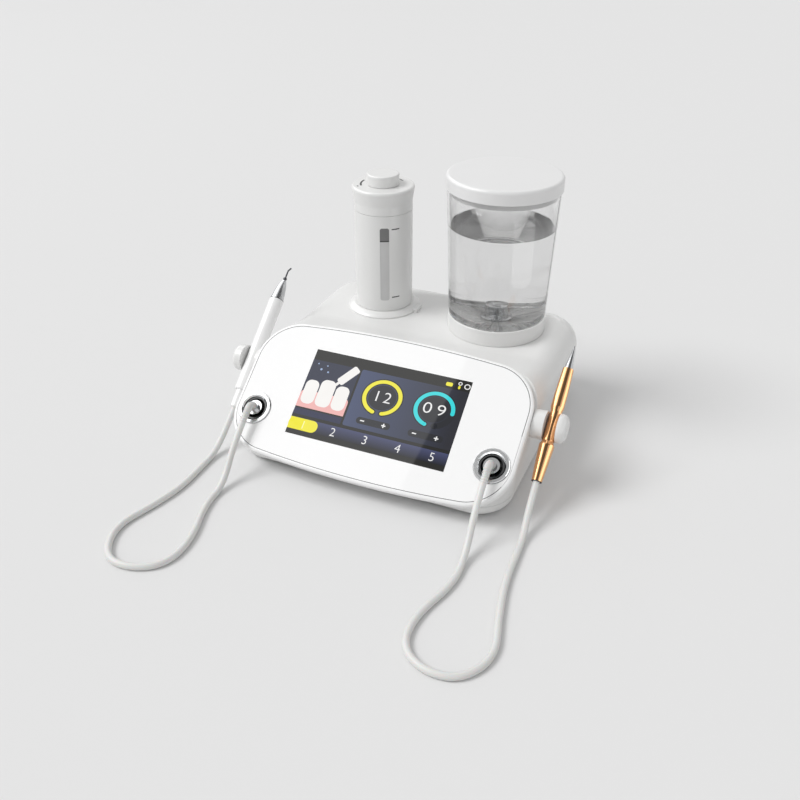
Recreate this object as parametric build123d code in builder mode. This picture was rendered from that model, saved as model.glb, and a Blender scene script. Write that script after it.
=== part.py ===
from build123d import *
from math import cos, pi, radians, sin, tan
import os

# Ultrasonic dental scaler with an air-polishing handpiece, in millimetres.
# Origin on the table under the console's middle: +X to the right, +Y to the back, +Z up.

# Clearances
running_gap = 0.05
fit_gap = 0.3

# Panel and screen: the screen is a 7 inch panel, which sets the scale of everything else
panel_tilt = 36.0
screen_y = -79.4
screen_z = 62.5
display_width = 165.8
display_height = 104.9
display_thickness = 5.1
panel_overhang = 3.5
panel_top = 71.0
panel_bottom = 72.0
panel_corner = 42.0
edge_bow = 8.2
bezel_thickness = 8.0
rim_width = 2.9
rim_round = 2.4
glass_thickness = 2.0

# Console housing
housing_base = 2.5
base_half_width = 132.5
side_draft = 3.6
front_base_y = -121.4
back_base_y = 133.0
plan_corner = 32.0
shoulder = 26.0
tray_round = 9.0
deck_height = 87.5
deck_start_y = 18.0
deck_blend = 70.0
housing_lip = 6.5
wall = 2.8
seam_height = 14.5
lip_height = 2.4
lip_thickness = 1.5

# Feet, posts and screws
foot_radius = 9.0
foot_height = 4.0
foot_inset = 34.5
foot_front_y = -84.0
foot_back_y = 104.0
screw_radius = 1.5
screw_head_radius = 2.75
screw_head_height = 1.8
screw_reach = 9.0
post_radius = 5.0
post_inset = 20.5
post_front_y = -58.0
post_back_y = 84.0
post_recess = 5.0

# Screen bracket and boards
window_margin = 3.0
bracket_thickness = 1.5
bracket_margin = 7.0
bracket_screw_y = 40.0
board_width = 156.0
board_depth = 90.0
board_thickness = 1.6
board_drop = 20.0
chip_size = 24.0
chip_height = 1.5
connector_length = 30.0
connector_height = 8.0
standoff_radius = 3.5
power_board_width = 90.0
power_board_depth = 70.0
power_board_inset = 70.5
power_board_y = -18.0
power_board_lift = 7.0
transformer_size = 30.0
transformer_height = 24.0
supply_width = 90.0
supply_depth = 55.0
supply_height = 32.0
vent_count = 9
vent_width = 3.0
vent_depth = 2.0
supply_inset = 68.5
supply_y = 50.0
pump_inset = 60.5
pump_y = 62.0
pump_radius = 24.0
pump_height = 30.0
pump_lid = 5.0
pump_foot = 3.0
pump_nipple = 8.0
pump_bore_depth = 14.0
rotor_radius = 14.0
rotor_height = 8.0
rotor_shaft = 2.0
valve_block_inset = 56.5
valve_block_y = -22.0
valve_block_width = 66.0
valve_block_depth = 24.0
valve_block_height = 14.0
coil_count = 3
coil_radius = 9.0
coil_height = 20.0
regulator_x = 6.0
regulator_y = 68.0
regulator_width = 30.0
regulator_height = 22.0
regulator_radius = 12.0

# Cord ports in the panel
port_inset = 20.5
port_drop = 27.5
ring_radius = 15.8
ring_bore = 11.3
ring_rise = 1.5
ring_sink = 0.7
socket_radius = 10.9
socket_length = 26.0
socket_flange_radius = 12.0
socket_flange = 2.5
socket_set = 0.8
well_radius = 9.7
well_depth = 12.0
plug_radius = 6.0
plug_length = 9.0
collar_rise = 1.0
plug_collar = 7.2
nipple_radius = 4.6
nipple_height = 3.0
boot_radius = 3.7
boot_bend = 6.5
boot_straight = 3.5
cord_radius = 3.0

# Handpiece holders, spools on the console's sides with a groove across them
holder_y = -49.7
holder_z = 63.6
holder_radius = 13.0
holder_length = 33.0
holder_round = 6.0
spigot_radius = 4.0
hand_slope = 39.0
scaler_stand = 19.5
polisher_stand = 14.7
scaler_groove = 5.6
polisher_groove = 7.6
holder_screw_reach = 6.5
washer_radius = 5.5
washer_thickness = 1.2

# Gold scaler handpiece, lengths along its axis from the middle of the holder
scaler_tail = -50.0
scaler_tail_radius = 4.6
scaler_wide = -17.5
scaler_wide_radius = 6.75
scaler_neck = 13.8
scaler_neck_radius = 5.0
scaler_grip = 18.0
scaler_grip_radius = 5.9
scaler_front = 55.0
scaler_front_radius = 4.9
scaler_bore = 3.5
cord_bore = 1.2
transducer_radius = 2.7
transducer_back = -30.0
nose_radius = 3.9
nose_shank = 5.0
nose_end = 66.0
nose_end_radius = 2.4
tip_gap = 0.3
tip_end = 78.0
tip_point_radius = 0.45
tip_shank_radius = 1.2
tip_shank = 7.0

# White air-polishing handpiece
polisher_tail_end = -33.0
polisher_tail_radius = 6.8
polisher_front = 66.0
polisher_front_radius = 7.2
polisher_bore = 3.4
sleeve_end = -51.0
sleeve_radius = 4.5
sleeve_shank = 12.0
cone_end = 88.0
cone_end_radius = 2.1
cone_shank = 8.0
nozzle_radius = 0.8
nozzle_ball = 1.9
nozzle_straight = 99.3
nozzle_reach = 6.0
nozzle_angle = 36.0
nozzle_shank = 8.0

# Water bottle on the right of the deck
bottle_x = 60.5
bottle_y = 70.6
seat_gap = 0.3
seat_radius = 40.0
seat_height = 5.5
seat_spout_radius = 9.0
seat_spout = 10.0
deck_hole = 9.3
pin_radius = 1.5
feed_offset = 5.0
collar_radius = 47.6
collar_height = 15.7
collar_wall = 3.0
collar_shelf = 8.2
shelf_thickness = 3.0
seal_radius = 41.5
seal_thickness = 1.2
bottle_base_radius = 47.2
bottle_top_radius = 52.3
bottle_top = 229.0
bottle_wall = 2.6
bottle_floor = 4.0
cap_radius = 53.4
cap_bottom = 227.5
cap_top = 240.0
cap_round = 3.0
cap_plug = 7.0
gasket_thickness = 1.0
valve_radius = 8.0
valve_flange = 11.0
valve_flange_height = 3.0
valve_bore = 5.6
valve_mouth = 3.0
valve_wall = 2.4
valve_top = 118.0
plunger_head = 2.5
plunger_stem = 1.4
valve_travel = 3.0
spring_wire = 0.5
spring_radius = 3.8
spring_turns = 4

# Powder chamber on the left of the deck
flange_radius = 36.5
flange_height = 5.0
flange_top_radius = 31.0
tab_width = 14.0
tab_reach = 39.5
tab_height = 3.0
chamber_neck = 10.0
chamber_neck_length = 4.0
chamber_radius = 28.8
chamber_wall = 3.4
chamber_floor = 5.0
chamber_top = 191.5
gauge_azimuth = 26.0
gauge_width = 9.0
gauge_low = 104.5
gauge_high = 180.0
powder_cap_top = 214.5
powder_rim_radius = 30.5
powder_rim_height = 3.0
powder_rim_taper = 12.0
powder_cap_round = 2.2
powder_plug = 6.0
powder_seal_height = 2.5
knob_radius = 15.7
knob_height = 10.5
knob_stem = 4.0
knob_stem_length = 9.0

# Rear connector plate
rear_width = 150.0
rear_low = 20.0
rear_high = 64.0
rear_corner = 6.0
rear_depth = 6.0
rear_ledge = 5.0
plate_thickness = 2.0
fitting_z = 42.0
inlet_x = -50.0
inlet_width = 24.3
inlet_height = 16.3
inlet_depth = 17.0
inlet_flange_width = 48.0
inlet_flange_height = 22.0
inlet_wall = 1.6
inlet_pin_width = 2.0
inlet_pin_height = 4.0
inlet_pin_length = 14.0
switch_x = -6.0
switch_width = 15.0
switch_height = 21.0
switch_wall = 1.8
switch_depth = 14.0
rocker_radius = 12.0
rocker_rise = 3.0
pedal_x = 25.0
pedal_radius = 9.0
pedal_well = 6.2
pedal_depth = 13.0
pedal_pin = 0.6
air_x = 52.0
air_radius = 6.0
air_bore = 3.05
air_bore_length = 12.0
air_length = 20.0
fitting_lip = 2.0

# Places that follow from the sizes
panel_half_width = base_half_width + panel_overhang
foot_x = base_half_width - foot_inset
post_x = base_half_width - post_inset
port_x = panel_half_width - port_inset
holder_reach = base_half_width + holder_length
scaler_x = base_half_width + scaler_stand
polisher_x = -base_half_width - polisher_stand
valve_block_x = valve_block_inset - base_half_width
supply_x = supply_inset - base_half_width
power_board_x = base_half_width - power_board_inset
pump_x = base_half_width - pump_inset

os.makedirs("parts", exist_ok=True)


def upright(origin, direction):
    """A plane for turned pieces: x across the object, y along the given direction."""
    across = Vector(1, 0, 0)
    return Plane(origin=origin, x_dir=across, z_dir=across.cross(Vector(direction)))


def turn(plane, outline, mode=Mode.ADD):
    """Turns an outline of radii and heights about the plane's y axis."""
    with BuildSketch(plane) as section:
        with BuildLine():
            Polyline(*outline, close=True)
        make_face()
    revolve(section.sketch, axis=Axis(plane.origin, plane.y_dir), mode=mode)


def disc(plane, places, radius, height, mode=Mode.ADD):
    """Round bars of one radius at several places on a plane."""
    with BuildSketch(plane) as section:
        with Locations(*places):
            Circle(radius)
    extrude(section.sketch, amount=height, mode=mode)


def block(plane, place, width, depth, height, mode=Mode.ADD):
    """A rectangular block at a place on a plane."""
    with BuildSketch(plane) as section:
        with Locations(place):
            Rectangle(width, depth)
    extrude(section.sketch, amount=height, mode=mode)


# The panel's plane has x across and y up its slope, and its normal points out of the screen
tilt = radians(panel_tilt)
panel = Plane(
    origin=(0, screen_y, screen_z), x_dir=(1, 0, 0), z_dir=(0, -sin(tilt), cos(tilt))
)
slope = radians(hand_slope)
hand_direction = Vector(0, cos(slope), sin(slope))


def panel_outline(out, height, inset, mode=Mode.ADD):
    """A slab with the panel's outline, drawn in by the inset."""
    half = panel_half_width - inset
    top = panel_top - inset
    low = inset - panel_bottom
    with BuildSketch(panel.offset(out)) as section:
        with BuildLine():
            ThreePointArc((-half, top - edge_bow), (0, top), (half, top - edge_bow))
            Line((half, top - edge_bow), (half, low + edge_bow))
            ThreePointArc((half, low + edge_bow), (0, low), (-half, low + edge_bow))
            Line((-half, low + edge_bow), (-half, top - edge_bow))
        make_face()
        fillet(section.vertices(), panel_corner - inset)
    extrude(section.sketch, amount=height, mode=mode)


def housing_form(inset):
    """The console's outer form, drawn in by the inset: a tapered plan, cut by the side profile."""
    depth = back_base_y - front_base_y
    front_top = panel.from_local_coords((0, panel_top - housing_lip, -bezel_thickness))
    front_low = panel.from_local_coords((0, -1.4 * panel_bottom, -bezel_thickness))
    far = back_base_y + plan_corner
    with BuildPart() as form:
        with BuildSketch(Plane.XY.offset(housing_base + inset)):
            with Locations((0, (front_base_y + back_base_y) / 2)):
                RectangleRounded(
                    2 * (base_half_width - inset), depth - 2 * inset, plan_corner - inset
                )
        extrude(amount=deck_height + shoulder, taper=-side_draft)
        with BuildSketch(Plane.YZ):
            with BuildLine():
                Polyline(
                    (front_low.Y, front_low.Z),
                    (front_top.Y, front_top.Z),
                    (deck_start_y, deck_height),
                    (far, deck_height),
                    (far, front_low.Z),
                    close=True,
                )
            make_face()
            if inset > 0:
                offset(amount=-inset, kind=Kind.INTERSECTION, mode=Mode.REPLACE)
        extrude(amount=2 * base_half_width, both=True, mode=Mode.INTERSECT)
        kink = form.edges().filter_by(Axis.X).sort_by_distance((0, deck_start_y, deck_height))[0]
        fillet(kink, deck_blend)
        rim = form.edges().filter_by(
            lambda edge: panel.to_local_coords(edge.center()).Z < -bezel_thickness - inset - 1
            and (abs(edge.tangent_at(0.5).X) < 0.9 or edge.center().Y > back_base_y - plan_corner)
            and edge.center().Z > deck_height - shoulder / 2 - inset
        )
        fillet(rim, shoulder - inset)
    return form.part


def plan_slab(low, high, inset, mode=Mode.ADD):
    """A slab with the housing's plan at its own height, drawn in by the inset."""
    grow = tan(radians(side_draft)) * (low - housing_base) - inset
    with BuildSketch(Plane.XY.offset(low)) as section:
        with Locations((0, (front_base_y + back_base_y) / 2)):
            RectangleRounded(
                2 * (base_half_width + grow),
                back_base_y - front_base_y + 2 * grow,
                plan_corner + grow,
            )
    extrude(section.sketch, amount=high - low, taper=-side_draft, mode=mode)


outer_form = housing_form(0)
inner_form = housing_form(wall)
post_form = housing_form(wall / 2)

floor_top = housing_base + wall
post_places = [(side * post_x, y) for side in (-1, 1) for y in (post_front_y, post_back_y)]
foot_places = [(side * foot_x, y) for side in (-1, 1) for y in (foot_front_y, foot_back_y)]
port_places = [(-port_x, -port_drop), (port_x, -port_drop)]
rear_y = back_base_y + tan(radians(side_draft)) * (rear_low - housing_base) - rear_depth
rear = Plane(origin=(0, rear_y, 0), x_dir=(1, 0, 0), z_dir=(0, -1, 0))
rear_middle = (rear_low + rear_high) / 2
side_plane = Plane(origin=(0, holder_y, holder_z), x_dir=(0, 1, 0), z_dir=(1, 0, 0))
bottle = upright((bottle_x, bottle_y, 0), (0, 0, 1))
chamber = upright((-bottle_x, bottle_y, 0), (0, 0, 1))
front_inner = -bezel_thickness - wall

power_board_z = floor_top + power_board_lift
power_standoffs = [
    (power_board_x + side * (power_board_width / 2 - 5), power_board_y + y * (power_board_depth / 2 - 5))
    for side in (-1, 1)
    for y in (-1, 1)
]

bracket_width = display_width + 2 * window_margin + 2 * bracket_margin
bracket_back = front_inner - bracket_thickness
bracket_screws = [
    (side * (bracket_width - bracket_margin) / 2, y)
    for side in (-1, 1)
    for y in (-bracket_screw_y, bracket_screw_y)
]

# Housing
with BuildPart() as screw_posts:
    disc(Plane.XY.offset(seam_height), post_places, post_radius, deck_height)
    add(post_form, mode=Mode.INTERSECT)
    disc(Plane.XY.offset(seam_height), post_places, screw_radius, screw_reach, Mode.SUBTRACT)

with BuildPart() as rear_frame:
    with BuildSketch(rear.offset(wall)):
        with Locations((0, rear_middle)):
            RectangleRounded(
                rear_width + 2 * wall, rear_high - rear_low + 2 * wall, rear_corner + wall
            )
    extrude(amount=-rear_depth - wall - plan_corner)
    with BuildSketch(rear):
        with Locations((0, rear_middle)):
            RectangleRounded(rear_width, rear_high - rear_low, rear_corner)
    extrude(amount=-plan_corner, mode=Mode.SUBTRACT)
    with BuildSketch(rear.offset(wall)):
        with Locations((0, rear_middle)):
            RectangleRounded(
                rear_width - 2 * rear_ledge, rear_high - rear_low - 2 * rear_ledge, 2.0
            )
    extrude(amount=-wall, mode=Mode.SUBTRACT)
    add(outer_form, mode=Mode.INTERSECT)

with BuildPart() as upper_housing:
    add(outer_form)
    add(inner_form, mode=Mode.SUBTRACT)
    add(screw_posts.part)
    with BuildSketch(rear):
        with Locations((0, rear_middle)):
            RectangleRounded(rear_width, rear_high - rear_low, rear_corner)
    extrude(amount=-plan_corner, mode=Mode.SUBTRACT)
    add(rear_frame.part)
    split(bisect_by=Plane.XY.offset(seam_height), keep=Keep.TOP)
    block(
        panel.offset(-bezel_thickness),
        (0, 0),
        display_width + 2 * window_margin,
        display_height + window_margin,
        -wall - 1,
        Mode.SUBTRACT,
    )
    disc(
        panel.offset(-bezel_thickness), port_places, socket_radius + fit_gap, -wall - 1,
        Mode.SUBTRACT,
    )
    disc(panel.offset(front_inner), bracket_screws, screw_radius, wall - 0.5, Mode.SUBTRACT)
    disc(
        Plane.XY.offset(deck_height),
        [(-bottle_x, bottle_y), (bottle_x, bottle_y)],
        deck_hole,
        -wall - 1,
        Mode.SUBTRACT,
    )
    disc(side_plane.offset(post_x + post_radius), [(0, 0)], spigot_radius + fit_gap, shoulder,
         Mode.SUBTRACT)
    disc(side_plane.offset(-post_x - post_radius), [(0, 0)], spigot_radius + fit_gap, -shoulder,
         Mode.SUBTRACT)
upper_housing.part.label = "upper_housing"
export_step(upper_housing.part, "parts/upper_housing.step")

with BuildPart() as tray_space:
    plan_slab(floor_top, seam_height, wall)
    fillet(tray_space.edges().group_by(Axis.Z)[0], tray_round - wall)

with BuildPart() as lower_housing:
    plan_slab(housing_base, seam_height - fit_gap, 0)
    fillet(lower_housing.edges().group_by(Axis.Z)[0], tray_round)
    add(tray_space.part, mode=Mode.SUBTRACT)
    plan_slab(seam_height - lip_height, seam_height - fit_gap, wall - fit_gap)
    plan_slab(seam_height - fit_gap, seam_height + lip_height, wall + fit_gap)
    plan_slab(
        seam_height - lip_height, seam_height + lip_height, wall + lip_thickness, Mode.SUBTRACT
    )
    disc(Plane.XY.offset(floor_top), foot_places, foot_radius + wall, foot_height - wall)
    disc(Plane.XY.offset(floor_top - 1), post_places, post_radius, seam_height - floor_top + 1)
    disc(Plane.XY.offset(floor_top - 1), power_standoffs, standoff_radius, power_board_lift + 1)
    disc(Plane.XY, foot_places, foot_radius, foot_height, Mode.SUBTRACT)
    disc(
        Plane.XY, post_places, screw_head_radius + fit_gap, housing_base + post_recess,
        Mode.SUBTRACT,
    )
    disc(Plane.XY, post_places, screw_radius + fit_gap, seam_height, Mode.SUBTRACT)
lower_housing.part.label = "lower_housing"
export_step(lower_housing.part, "parts/lower_housing.step")

with BuildPart() as rubber_feet:
    disc(Plane.XY, foot_places, foot_radius, foot_height)
    chamfer(rubber_feet.edges().group_by(Axis.Z)[0], 0.8)
rubber_feet.part.label = "rubber_feet"
export_step(rubber_feet.part, "parts/rubber_feet.step")

head_top = housing_base + post_recess
with BuildPart() as housing_screws:
    disc(
        Plane.XY.offset(head_top - screw_head_height), post_places, screw_head_radius,
        screw_head_height,
    )
    disc(
        Plane.XY.offset(head_top), post_places, screw_radius,
        seam_height + screw_reach - 1 - head_top,
    )
housing_screws.part.label = "housing_screws"
export_step(housing_screws.part, "parts/housing_screws.step")

# Panel: frame, glass and screen
glass_inset = rim_width + fit_gap
with BuildPart() as front_bezel:
    panel_outline(-bezel_thickness, bezel_thickness, 0)
    fillet(front_bezel.faces().sort_by(Axis(panel.origin, panel.z_dir))[-1].edges(), rim_round)
    fillet(front_bezel.faces().sort_by(Axis(panel.origin, panel.z_dir))[0].edges(), rim_round / 2)
    panel_outline(-glass_thickness, bezel_thickness, rim_width, Mode.SUBTRACT)
    block(
        panel, (0, 0), display_width + 2 * fit_gap, display_height + 2 * fit_gap,
        -bezel_thickness, Mode.SUBTRACT,
    )
    disc(panel, port_places, socket_radius + fit_gap, -bezel_thickness, Mode.SUBTRACT)
front_bezel.part.label = "front_bezel"
export_step(front_bezel.part, "parts/front_bezel.step")

with BuildPart() as cover_glass:
    panel_outline(-glass_thickness, glass_thickness, glass_inset)
    chamfer(cover_glass.faces().sort_by(Axis(panel.origin, panel.z_dir))[-1].edges(), 0.3)
    disc(panel, port_places, ring_radius + fit_gap, -glass_thickness, Mode.SUBTRACT)
cover_glass.part.label = "cover_glass"
export_step(cover_glass.part, "parts/cover_glass.step")

display_back = -glass_thickness - display_thickness
with BuildPart() as display_module:
    block(
        panel.offset(-glass_thickness), (0, 0), display_width, display_height, -display_thickness
    )
display_module.part.label = "display_module"
export_step(display_module.part, "parts/display_module.step")

standoffs = [
    (side * (board_width / 2 - 5), y * (board_depth / 2 - 5)) for side in (-1, 1) for y in (-1, 1)
]
with BuildPart() as display_bracket:
    block(panel.offset(front_inner), (0, 0), bracket_width, display_height, -bracket_thickness)
    block(
        panel.offset(front_inner),
        (0, 0),
        display_width,
        display_height - 2 * bracket_margin,
        display_back - front_inner,
    )
    disc(panel.offset(bracket_back), standoffs, standoff_radius, -board_drop - bracket_back)
    disc(panel.offset(-board_drop), standoffs, screw_radius, board_drop + bracket_back + 1,
         Mode.SUBTRACT)
    disc(panel.offset(bracket_back), bracket_screws, screw_radius + fit_gap, bracket_thickness,
         Mode.SUBTRACT)
display_bracket.part.label = "display_bracket"
export_step(display_bracket.part, "parts/display_bracket.step")

with BuildPart() as main_board:
    block(panel.offset(-board_drop), (0, 0), board_width, board_depth, -board_thickness)
    disc(panel.offset(-board_drop), standoffs, screw_radius + fit_gap, -board_thickness,
         Mode.SUBTRACT)
    block(
        panel.offset(-board_drop - board_thickness), (-board_width / 8, 0), chip_size, chip_size,
        -chip_height,
    )
    block(
        panel.offset(-board_drop - board_thickness), (board_width / 4, -board_depth / 4),
        connector_length, connector_height, -connector_height,
    )
main_board.part.label = "main_board"
export_step(main_board.part, "parts/main_board.step")

with BuildPart() as m3_screws:
    disc(panel.offset(bracket_back), bracket_screws, screw_head_radius, -screw_head_height)
    disc(panel.offset(bracket_back), bracket_screws, screw_radius, bracket_thickness + wall - 0.5)
    disc(
        panel.offset(-board_drop - board_thickness), standoffs, screw_head_radius,
        -screw_head_height,
    )
    disc(panel.offset(-board_drop - board_thickness), standoffs, screw_radius, 6)
m3_screws.part.label = "m3_screws"
export_step(m3_screws.part, "parts/m3_screws.step")

# Boards and machinery on the floor
with BuildPart() as ultrasonic_board:
    block(
        Plane.XY.offset(power_board_z), (power_board_x, power_board_y), power_board_width,
        power_board_depth, board_thickness,
    )
    disc(
        Plane.XY.offset(power_board_z), power_standoffs, screw_radius, board_thickness,
        Mode.SUBTRACT,
    )
ultrasonic_board.part.label = "ultrasonic_board"
export_step(ultrasonic_board.part, "parts/ultrasonic_board.step")

transformer_x = power_board_x - power_board_width / 4
with BuildPart() as driver_transformer:
    block(
        Plane.XY.offset(power_board_z + board_thickness), (transformer_x, power_board_y),
        transformer_size, transformer_size / 2, transformer_height,
    )
    disc(
        Plane.XY.offset(power_board_z + board_thickness + transformer_height / 6),
        [(transformer_x, power_board_y)], transformer_size * 0.42, transformer_height * 2 / 3,
    )
driver_transformer.part.label = "driver_transformer"
export_step(driver_transformer.part, "parts/driver_transformer.step")

with BuildPart() as power_supply:
    block(Plane.XY.offset(floor_top), (supply_x, supply_y), supply_width, supply_depth,
          supply_height)
    with BuildSketch(Plane.XY.offset(floor_top + supply_height)):
        with Locations((supply_x, supply_y)):
            with GridLocations(supply_width / (vent_count + 2), 0, vent_count, 1):
                SlotOverall(supply_depth * 0.6, vent_width, rotation=90)
    extrude(amount=-vent_depth, mode=Mode.SUBTRACT)
power_supply.part.label = "power_supply"
export_step(power_supply.part, "parts/power_supply.step")

chamber_z = floor_top + pump_height - rotor_height - 2 * fit_gap - pump_lid
with BuildPart() as water_pump:
    disc(Plane.XY.offset(floor_top), [(pump_x, pump_y)], pump_radius, pump_height)
    block(Plane.XY.offset(floor_top), (pump_x, pump_y), 2.4 * pump_radius, pump_radius, pump_foot)
    disc(
        Plane.XY.offset(floor_top + pump_height), [(pump_x, pump_y - pump_radius / 2)],
        pump_radius / 5, pump_nipple,
    )
    disc(
        Plane.XY.offset(chamber_z), [(pump_x, pump_y)], rotor_radius + fit_gap,
        rotor_height + 2 * fit_gap, Mode.SUBTRACT,
    )
    disc(
        Plane.XY.offset(chamber_z), [(pump_x, pump_y)], rotor_shaft, rotor_height + 2 * fit_gap
    )
    disc(
        Plane.XY.offset(floor_top + pump_height + pump_nipple), [(pump_x, pump_y - pump_radius / 2)],
        pump_radius / 10, -pump_bore_depth, Mode.SUBTRACT,
    )
water_pump.part.label = "water_pump"
export_step(water_pump.part, "parts/water_pump.step")

with BuildPart() as pump_rotor:
    disc(
        Plane.XY.offset(chamber_z + fit_gap), [(pump_x, pump_y)], rotor_radius - fit_gap,
        rotor_height / 4,
    )
    disc(Plane.XY.offset(chamber_z + fit_gap), [(pump_x, pump_y)], rotor_shaft * 2, rotor_height)
    with BuildSketch(Plane.XY.offset(chamber_z + fit_gap)):
        with Locations((pump_x, pump_y)):
            with PolarLocations((rotor_radius + rotor_shaft) / 2, 6):
                Rectangle(rotor_radius - 2 * rotor_shaft, rotor_shaft / 2)
    extrude(amount=rotor_height)
    disc(
        Plane.XY.offset(chamber_z), [(pump_x, pump_y)], rotor_shaft + running_gap,
        rotor_height * 2, Mode.SUBTRACT,
    )
pump_rotor.part.label = "pump_rotor"
export_step(pump_rotor.part, "parts/pump_rotor.step")

coil_pitch = valve_block_width / coil_count
coils = [
    (valve_block_x + coil_pitch * (number - (coil_count - 1) / 2), valve_block_y)
    for number in range(coil_count)
]
with BuildPart() as solenoid_valves:
    block(
        Plane.XY.offset(floor_top), (valve_block_x, valve_block_y), valve_block_width,
        valve_block_depth, valve_block_height,
    )
    disc(Plane.XY.offset(floor_top + valve_block_height), coils, coil_radius, coil_height)
solenoid_valves.part.label = "solenoid_valves"
export_step(solenoid_valves.part, "parts/solenoid_valves.step")

with BuildPart() as air_regulator:
    block(
        Plane.XY.offset(floor_top), (regulator_x, regulator_y), regulator_width,
        regulator_width, regulator_height,
    )
    disc(
        Plane.XY.offset(floor_top + regulator_height), [(regulator_x, regulator_y)],
        regulator_radius, regulator_radius,
    )
air_regulator.part.label = "air_regulator"
export_step(air_regulator.part, "parts/air_regulator.step")

# Rear connectors
plate_front = rear.offset(-plate_thickness)
with BuildPart() as rear_plate:
    with BuildSketch(rear):
        with Locations((0, rear_middle)):
            RectangleRounded(
                rear_width - 2 * fit_gap, rear_high - rear_low - 2 * fit_gap,
                rear_corner - fit_gap,
            )
        with Locations((inlet_x, fitting_z)):
            Rectangle(
                inlet_width + 2 * inlet_wall, inlet_height + 2 * inlet_wall, mode=Mode.SUBTRACT
            )
        with Locations((switch_x, fitting_z)):
            Rectangle(
                switch_width + 2 * switch_wall, switch_height + 2 * switch_wall,
                mode=Mode.SUBTRACT,
            )
        with Locations((pedal_x, fitting_z)):
            Circle(pedal_radius, mode=Mode.SUBTRACT)
        with Locations((air_x, fitting_z)):
            Circle(air_radius, mode=Mode.SUBTRACT)
    extrude(amount=-plate_thickness)
rear_plate.part.label = "rear_plate"
export_step(rear_plate.part, "parts/rear_plate.step")

with BuildPart() as power_inlet:
    with BuildSketch(plate_front):
        with Locations((inlet_x, fitting_z)):
            RectangleRounded(inlet_flange_width, inlet_flange_height, 3)
    extrude(amount=-fitting_lip)
    block(
        plate_front, (inlet_x, fitting_z), inlet_width + 2 * inlet_wall,
        inlet_height + 2 * inlet_wall, inlet_depth + inlet_wall - fitting_lip,
    )
    block(
        plate_front.offset(-fitting_lip), (inlet_x, fitting_z), inlet_width, inlet_height,
        inlet_depth, Mode.SUBTRACT,
    )
    with BuildSketch(plate_front.offset(inlet_depth - fitting_lip)):
        with Locations(
            (inlet_x, fitting_z + 2), (inlet_x - 7, fitting_z - 2), (inlet_x + 7, fitting_z - 2)
        ):
            Rectangle(inlet_pin_width, inlet_pin_height)
    extrude(amount=-inlet_pin_length)
power_inlet.part.label = "power_inlet"
export_step(power_inlet.part, "parts/power_inlet.step")

# The rocker's round back turns inside the frame about a line across the opening
rocker_axis = Plane(
    origin=plate_front.from_local_coords((switch_x, fitting_z, 0)), x_dir=(0, 1, 0),
    z_dir=(1, 0, 0),
)
rocker_half = switch_height / 2 - 4 * fit_gap
with BuildPart() as switch_frame:
    block(
        plate_front, (switch_x, fitting_z), switch_width + 4 * switch_wall,
        switch_height + 4 * switch_wall, -fitting_lip,
    )
    block(
        plate_front, (switch_x, fitting_z), switch_width + 2 * switch_wall,
        switch_height + 2 * switch_wall, switch_depth,
    )
    block(
        plate_front.offset(-fitting_lip), (switch_x, fitting_z), switch_width, switch_height,
        switch_depth, Mode.SUBTRACT,
    )
    disc(rocker_axis.offset(-switch_width / 2), [(0, 0)], pedal_pin + 1, switch_wall)
    disc(rocker_axis.offset(switch_width / 2), [(0, 0)], pedal_pin + 1, -switch_wall)
switch_frame.part.label = "switch_frame"
export_step(switch_frame.part, "parts/switch_frame.step")

with BuildPart() as power_switch:
    with BuildSketch(rocker_axis.offset(-switch_width / 2 + fit_gap)):
        with BuildLine():
            Polyline(
                (-rocker_rise, -rocker_half * 0.45),
                (rocker_rise * 0.2, -rocker_half),
                (rocker_rise * 1.5, -rocker_half),
                (rocker_rise * 0.9, 0),
                (rocker_rise * 0.55, rocker_half),
                (-rocker_rise * 0.8, rocker_half),
                (-rocker_rise * 2, rocker_half * 0.45),
                close=True,
            )
        make_face()
    extrude(amount=switch_width - 2 * fit_gap)
    disc(
        rocker_axis.offset(-switch_width / 2), [(0, 0)], pedal_pin + 1 + running_gap,
        switch_wall + running_gap, Mode.SUBTRACT,
    )
    disc(
        rocker_axis.offset(switch_width / 2), [(0, 0)], pedal_pin + 1 + running_gap,
        -switch_wall - running_gap, Mode.SUBTRACT,
    )
power_switch.part.label = "power_switch"
export_step(power_switch.part, "parts/power_switch.step")

with BuildPart() as pedal_socket:
    disc(plate_front, [(pedal_x, fitting_z)], pedal_radius + 2, -fitting_lip)
    disc(plate_front, [(pedal_x, fitting_z)], pedal_radius, pedal_depth + 2)
    disc(
        plate_front.offset(-fitting_lip), [(pedal_x, fitting_z)], pedal_well,
        pedal_depth, Mode.SUBTRACT,
    )
    with BuildSketch(plate_front.offset(pedal_depth - fitting_lip)):
        with Locations((pedal_x, fitting_z)):
            with PolarLocations(pedal_well / 2, 4):
                Circle(pedal_pin)
    extrude(amount=-pedal_depth + 3)
pedal_socket.part.label = "pedal_socket"
export_step(pedal_socket.part, "parts/pedal_socket.step")

with BuildPart() as air_inlet:
    disc(plate_front, [(air_x, fitting_z)], air_radius + 2, -fitting_lip)
    disc(plate_front, [(air_x, fitting_z)], air_radius, air_length)
    disc(
        plate_front.offset(-fitting_lip), [(air_x, fitting_z)], air_bore, air_bore_length,
        Mode.SUBTRACT,
    )
air_inlet.part.label = "air_inlet"
export_step(air_inlet.part, "parts/air_inlet.step")

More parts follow.
